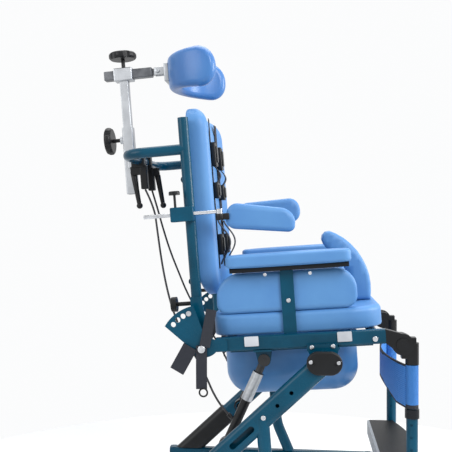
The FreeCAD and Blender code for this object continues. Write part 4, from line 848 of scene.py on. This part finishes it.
def makeCalfBand():
    s = calfBand
    height = s["top"] - s["bottom"]

    def lay(a, b):
        share = a / s["half"]
        lift = scallopAt(a)
        up = (b / height) + 0.5
        z = s["bottom"] + lift + up * (height - lift)
        x = s["x"] - s["bow"] * (1 - share ** 2) - s["thick"] / 2
        return (x, a, z)

    band = strip("calfBand", 2 * s["half"], height, (60, 22), lay, s["thick"])
    band.data.materials.append(blueMesh)
    band.data.materials.append(darkWebbing)  # for the bound edges
    sleeves = []
    for sign in (-1, 1):  # cloth tubes round the leg tubes
        deselect()
        spot = s["sleeveX"], sign * s["half"], (s["top"] + s["bottom"]) / 2
        bpy.ops.mesh.primitive_cylinder_add(vertices=40, radius=s["sleeve"], depth=height,
                                            end_fill_type="NOTHING", location=spot)
        tube = bpy.context.object
        bpy.ops.object.mode_set(mode="EDIT")
        bpy.ops.mesh.select_all(action="SELECT")
        bpy.ops.mesh.subdivide(number_cuts=10)
        bpy.ops.object.mode_set(mode="OBJECT")
        applyModifier(tube, "SOLIDIFY", thickness=s["sleeveThick"], offset=-1)
        smooth(tube, 60)
        tube.data.materials.append(blueMesh)
        tube.data.materials.append(darkWebbing)
        settle(tube, Matrix.Identity(4))
        for face in tube.data.polygons:
            face.material_index = 1 if face.center.z - s["bottom"] < s["edge"] else 0
        sleeves.append(tube)
    settle(band, Matrix.Identity(4))
    for face in band.data.polygons:
        below = face.center.z - s["bottom"] - scallopAt(face.center.y)
        nearEdge = s["top"] - face.center.z < s["edge"] or below < s["edge"]
        face.material_index = 1 if nearEdge else 0
    settle(band, basePlace)
    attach(band, "legrest")
    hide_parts("calf_band")
    both = joinPieces(sleeves, "calfSleeves")
    settle(both, basePlace)
    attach(both, "legrest")


makeCalfBand()

harness = {"y": 0.062, "low": 0.170, "high": 0.545, "width": 0.025, "thick": 0.0018, "gap": 0.0015, "curl": 18,
           "clips": ((0.455, 0.060), (0.365, 0.040), (0.230, 0.052)),  # height up the back, length
           "loops": ((0.375, 0.430, 0.014), (0.180, 0.290, 0.026)),  # foot, head, how far it hangs off
           "clipHalf": 0.019, "clipThick": 0.012, "clipRim": 0.003, "ridgeHalf": 0.012, "ridgeFrom": 0.011,
           "ridgeTo": 0.015, "ridgeRim": 0.0015, "loopLift": 0.003, "loopRound": 1.5}


def padFace(y):  # the front of the back pad, whose wings come forward
    b = backPad
    return b["rear"] + b["thick"] + b["wing"] * (y / (b["half"] - b["wingEdge"])) ** 2


def makeHarness():
    s = harness
    middle = (s["low"] + s["high"]) / 2
    bend = backPad["high"] - backPad["rim"]
    straps = []
    for sign in (-1, 1):
        def lay(a, along):
            y = sign * s["y"] + a
            up = middle + along
            over = max(0.0, up - bend)
            return (padFace(y) + s["gap"] - over ** 2 * s["curl"], y, up)

        straps.append(strip("harnessStrap", s["width"], s["high"] - s["low"], (6, 60), lay, s["thick"]))
    both = joinPieces(straps, "chestHarness")
    settle(both, backPlace)
    dress(both, darkWebbing, "dark_webbing", "back", "chest_harness")
    clips, loops = [], []
    for sign in (-1, 1):
        y = sign * s["y"]
        u = padFace(y) + s["gap"] + s["thick"]
        half, ridge = s["clipHalf"], s["ridgeHalf"]
        for up, tall in s["clips"]:
            clips.append(block((u, y - half, up - tall / 2),
                               (u + s["clipThick"], y + half, up + tall / 2), s["clipRim"]))
            clips.append(block((u + s["ridgeFrom"], y - ridge, up - tall / 3),
                               (u + s["ridgeTo"], y + ridge, up + tall / 3), s["ridgeRim"]))
        for low, high, bulge in s["loops"]:
            def slack(a, along):
                share = along / (high - low) + 0.5
                off = s["loopLift"] + bulge * math.sin(math.pi * share) ** s["loopRound"]
                return (u + off, y + a, low + (high - low) * share)

            loops.append(strip("slackLoop", s["width"], high - low, (4, 30), slack, s["thick"]))
    buckles = joinPieces(clips, "harnessClips")
    settle(buckles, backPlace)
    dress(buckles, blackMould, "black_plastic", "back")
    slackLoops = joinPieces(loops, "harnessLoops")
    settle(slackLoops, backPlace)
    dress(slackLoops, darkWebbing, "dark_webbing", "back")


makeHarness()

hipBelt = {"y": 0.2459, "width": 0.025, "above": 0.008, "drop": 0.090, "thick": 0.002, "sway": 0.0012,
           "swayPace": 40}


def makeHipBelt():
    s = hipBelt
    hinge = reclineAxis - tiltAxis
    length = s["above"] + s["drop"]
    tails = []
    for sign in (-1, 1):
        def lay(a, b):
            z = hinge.z + s["above"] + b - length / 2
            sway = s["sway"] * math.sin((hinge.z - z) * s["swayPace"])
            return (hinge.x + a, sign * (s["y"] + sway), z)

        tails.append(strip("beltTail", s["width"], length, (6, 26), lay, s["thick"]))
    both = joinPieces(tails, "hipBelt")
    settle(both, basePlace)
    dress(both, darkWebbing, "dark_webbing", "seat", "hip_belt")


makeHipBelt()

beltWeb = {"tailWidth": 0.034, "upWidth": 0.024, "thick": 0.002, "tail": ((-0.300, 0.026), (-0.331, -0.030)),
           "tailY": (0.2445, 0.2445), "up": ((-0.267, 0.026), (-0.2535, 0.109)), "upY": (0.2475, 0.232),
           "ring": (-0.2700, 0.2462, -0.0765), "ringRadius": 0.0090, "ringWire": 0.0020}


def makeBeltWeb():  # the belt's loose end, the run up beside the seat and the ring on the tail
    s = beltWeb
    strips, rings = [], []
    for sign in (-1, 1):
        for label in ("tail", "up"):
            run, ys = s[label], s[label + "Y"]
            start, end = Vector((run[0][0], 0, run[0][1])), Vector((run[1][0], 0, run[1][1]))
            way = end - start
            side = Vector((way.z, 0, -way.x)).normalized()

            def lay(a, b):
                share = b / way.length + 0.5
                spot = start + way * share + side * a
                return (spot.x, sign * (ys[0] + (ys[1] - ys[0]) * share), spot.z)

            strips.append(strip("beltRun", s[label + "Width"], way.length, (4, 16), lay, s["thick"]))
        deselect()
        x, y, z = s["ring"]
        bpy.ops.mesh.primitive_torus_add(major_radius=s["ringRadius"], minor_radius=s["ringWire"],
                                         major_segments=40, minor_segments=12,
                                         rotation=(math.radians(90), 0, 0), location=(x, sign * y, z))
        rings.append(bpy.context.object)
        smooth(rings[-1])
        settle(rings[-1], Matrix.Identity(4))
    runs = joinPieces(strips, "beltRuns")
    settle(runs, basePlace)
    dress(runs, darkWebbing, "dark_webbing", "seat")
    ring = joinPieces(rings, "beltRings")
    settle(ring, basePlace)
    dress(ring, blackMould, "black_plastic", "seat")


makeBeltWeb()

fixings = {  # x, y and z about the tilt axis, radius and height, for each side
    "seat": [(-0.2467, 0.2340, 0.0307, 0.0060, 0.0035), (0.1125, 0.2340, 0.0491, 0.0060, 0.0035),
             (-0.0268, 0.2480, 0.0302, 0.0050, 0.0030), (0.0193, 0.2480, 0.0334, 0.0050, 0.0030),
             (-0.2741, 0.2470, 0.0209, 0.0085, 0.0050)],
    "base": [(-0.0299, 0.2815, 0.0032, 0.0042, 0.0022), (0.0304, 0.2815, 0.0029, 0.0042, 0.0022),
             (-0.1330, 0.2735, -0.1226, 0.0055, 0.0030)],
    "arm": [(-0.1316, 0.2370, 0.1898, 0.0040, 0.0025), (-0.0311, 0.2370, 0.1941, 0.0040, 0.0025),
            (-0.0793, 0.2150, 0.1304, 0.0050, 0.0025)],
}


studShape = {"rim": 0.3, "recess": 0.45, "recessUp": 0.65}  # shares of the height and the radius


def stud(x, y, z, radius, height, sign):  # a round head with a hexagon recess, facing sideways
    rim, recess = height * studShape["rim"], radius * studShape["recess"]
    deselect()
    bpy.ops.mesh.primitive_cylinder_add(vertices=24, radius=radius, depth=height)
    piece = bpy.context.object
    applyModifier(piece, "BEVEL", width=rim, segments=3, limit_method="ANGLE", angle_limit=sharp)
    bpy.ops.mesh.primitive_cylinder_add(vertices=6, radius=recess, depth=height,
                                        location=(0, 0, height * studShape["recessUp"]))
    key = bpy.context.object
    pick(piece)
    cut = piece.modifiers.new("recess", "BOOLEAN")
    cut.operation = "DIFFERENCE"
    cut.object = key
    bpy.ops.object.modifier_apply(modifier=cut.name)
    pick(key)
    bpy.ops.object.delete()
    smooth(piece, 35)
    out = Matrix.Translation((x, sign * (y + height / 2), z))
    return settle(piece, out @ Matrix.Rotation(math.radians(-90 * sign), 4, "X"))


def makeFixings():
    for body, spots in fixings.items():
        heads = {-1: [stud(*spot, -1) for spot in spots], 1: [stud(*spot, 1) for spot in spots]}
        if body == "arm":
            groups = [(heads[-1], "arm_right"), (heads[1], "arm_left")]
        else:
            groups = [(heads[-1] + heads[1], body)]
        for pieces, carrier in groups:
            screws = joinPieces(pieces, "screws" + carrier.title().replace("_", ""))
            settle(screws, basePlace)
            dress(screws, plated, "plated_steel", carrier)


makeFixings()
print("fixings made")

releaseCable = {
    "radius": 0.0025,
    "start": (-0.145, -0.042, 0.384),  # under the lever housing, in the back's own frame
    "route": [  # about the tilt axis
        (-0.4246, -0.0474, 0.3467), (-0.4145, -0.0597, 0.2910), (-0.4024, -0.0774, 0.2301),
        (-0.3883, -0.0991, 0.1744), (-0.3702, -0.1236, 0.1186), (-0.3480, -0.1454, 0.0679),
        (-0.3198, -0.1617, 0.0172), (-0.2835, -0.1712, -0.0335), (-0.2472, -0.1780, -0.1146),
        (-0.2212, -0.1780, -0.1406),
    ],
    "aside": [(-0.006, 0.026), (-0.004, 0.021), (-0.002, 0.011)],  # keeps the left one clear of its lever
    "length": 0.606,
}


def makeCables():
    s = releaseCable
    for side, sign in (("Right", 1), ("Left", -1)):
        points = [backPlace @ Vector(s["start"])] + [basePlace @ Vector(p) for p in s["route"]]
        if side == "Left":
            for i, (back, inward) in enumerate(s["aside"]):
                points[i + 1] += Vector((back, inward, 0))
        data = bpy.data.curves.new("releaseCable" + side, "CURVE")
        data.dimensions = "3D"
        data.bevel_depth = s["radius"]
        data.bevel_resolution = 4
        data.resolution_u = 12
        line = data.splines.new("NURBS")
        line.points.add(len(points) - 1)
        for knot, point in zip(line.points, points):
            knot.co = (point.x, sign * point.y, point.z, 1)
        line.order_u = 3
        line.use_endpoint_u = True
        cable = bpy.data.objects.new("releaseCable" + side, data)
        bpy.context.scene.collection.objects.link(cable)
        data.materials.append(cableSheath)
        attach(cable, "back")
    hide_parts("release_cables")


makeCables()
print("webbing and cables made")

view = {"place": (0.1297, -1.870, 0.799), "turn": 6.28, "lens": 57.9}
cameraData = bpy.data.cameras.new("camera")
cameraData.lens = view["lens"]
camera = bpy.data.objects.new("camera", cameraData)
camera.location = view["place"]
camera.rotation_euler = (math.radians(90), 0, math.radians(view["turn"]))
bpy.context.scene.collection.objects.link(camera)
bpy.context.scene.camera = camera
bpy.context.scene.view_settings.view_transform = "Standard"


def areaLight(name, place, target, size, power):
    data = bpy.data.lights.new(name, "AREA")
    data.shape = "DISK"
    data.size = size
    data.energy = power
    lamp = bpy.data.objects.new(name, data)
    lamp.location = place
    lamp.rotation_euler = (Vector(target) - Vector(place)).to_track_quat("-Z", "Y").to_euler()
    bpy.context.scene.collection.objects.link(lamp)


areaLight("keyLight", (1.6, -2.2, 2.6), (0, 0, 0.7), 1.6, 62)
areaLight("fillLight", (-2.2, -1.8, 1.8), (0, 0, 0.7), 2.0, 28)
areaLight("topLight", (0.0, 0.6, 3.0), (0, 0, 0.6), 2.2, 40)
areaLight("frontLight", (2.4, 0.1, 1.5), (0, 0, 0.8), 1.4, 46)

stage = {"radius": 1.25, "floor": (0.9, 0.905, 0.91, 1), "rough": 0.8, "sky": (0.9, 0.92, 0.95, 1),
         "skyPower": 0.55, "backdrop": (0.97, 0.975, 0.98, 1), "backdropPower": 1.0}
deselect()
bpy.ops.mesh.primitive_circle_add(vertices=96, radius=stage["radius"], fill_type="NGON", location=(0, 0, 0))
floor = bpy.context.object
floor.name = "floor"
pale = bpy.data.materials.new("paleFloor")
pale.use_nodes = True
paleShader = pale.node_tree.nodes["Principled BSDF"]
paleShader.inputs["Base Color"].default_value = stage["floor"]
paleShader.inputs["Roughness"].default_value = stage["rough"]
paint(floor, pale)

world = bpy.data.worlds.new("studio")
bpy.context.scene.world = world
world.use_nodes = True
tree = world.node_tree
link = tree.links.new
sky = tree.nodes["Background"]
sky.inputs["Color"].default_value = stage["sky"]
sky.inputs["Strength"].default_value = stage["skyPower"]
backdrop = tree.nodes.new("ShaderNodeBackground")
backdrop.inputs["Color"].default_value = stage["backdrop"]
backdrop.inputs["Strength"].default_value = stage["backdropPower"]
rays = tree.nodes.new("ShaderNodeLightPath")
seen = rays.outputs["Is Camera Ray"]
for label in ("Is Glossy Ray", "Is Transmission Ray"):  # these see the backdrop, all other light is the sky's
    either = tree.nodes.new("ShaderNodeMath")
    either.operation = "MAXIMUM"
    link(seen, either.inputs[0])
    link(rays.outputs[label], either.inputs[1])
    seen = either.outputs["Value"]
choice = tree.nodes.new("ShaderNodeMixShader")
link(seen, choice.inputs["Fac"])
link(sky.outputs["Background"], choice.inputs[1])
link(backdrop.outputs["Background"], choice.inputs[2])
link(choice.outputs["Shader"], tree.nodes["World Output"].inputs["Surface"])
print("camera and light set")
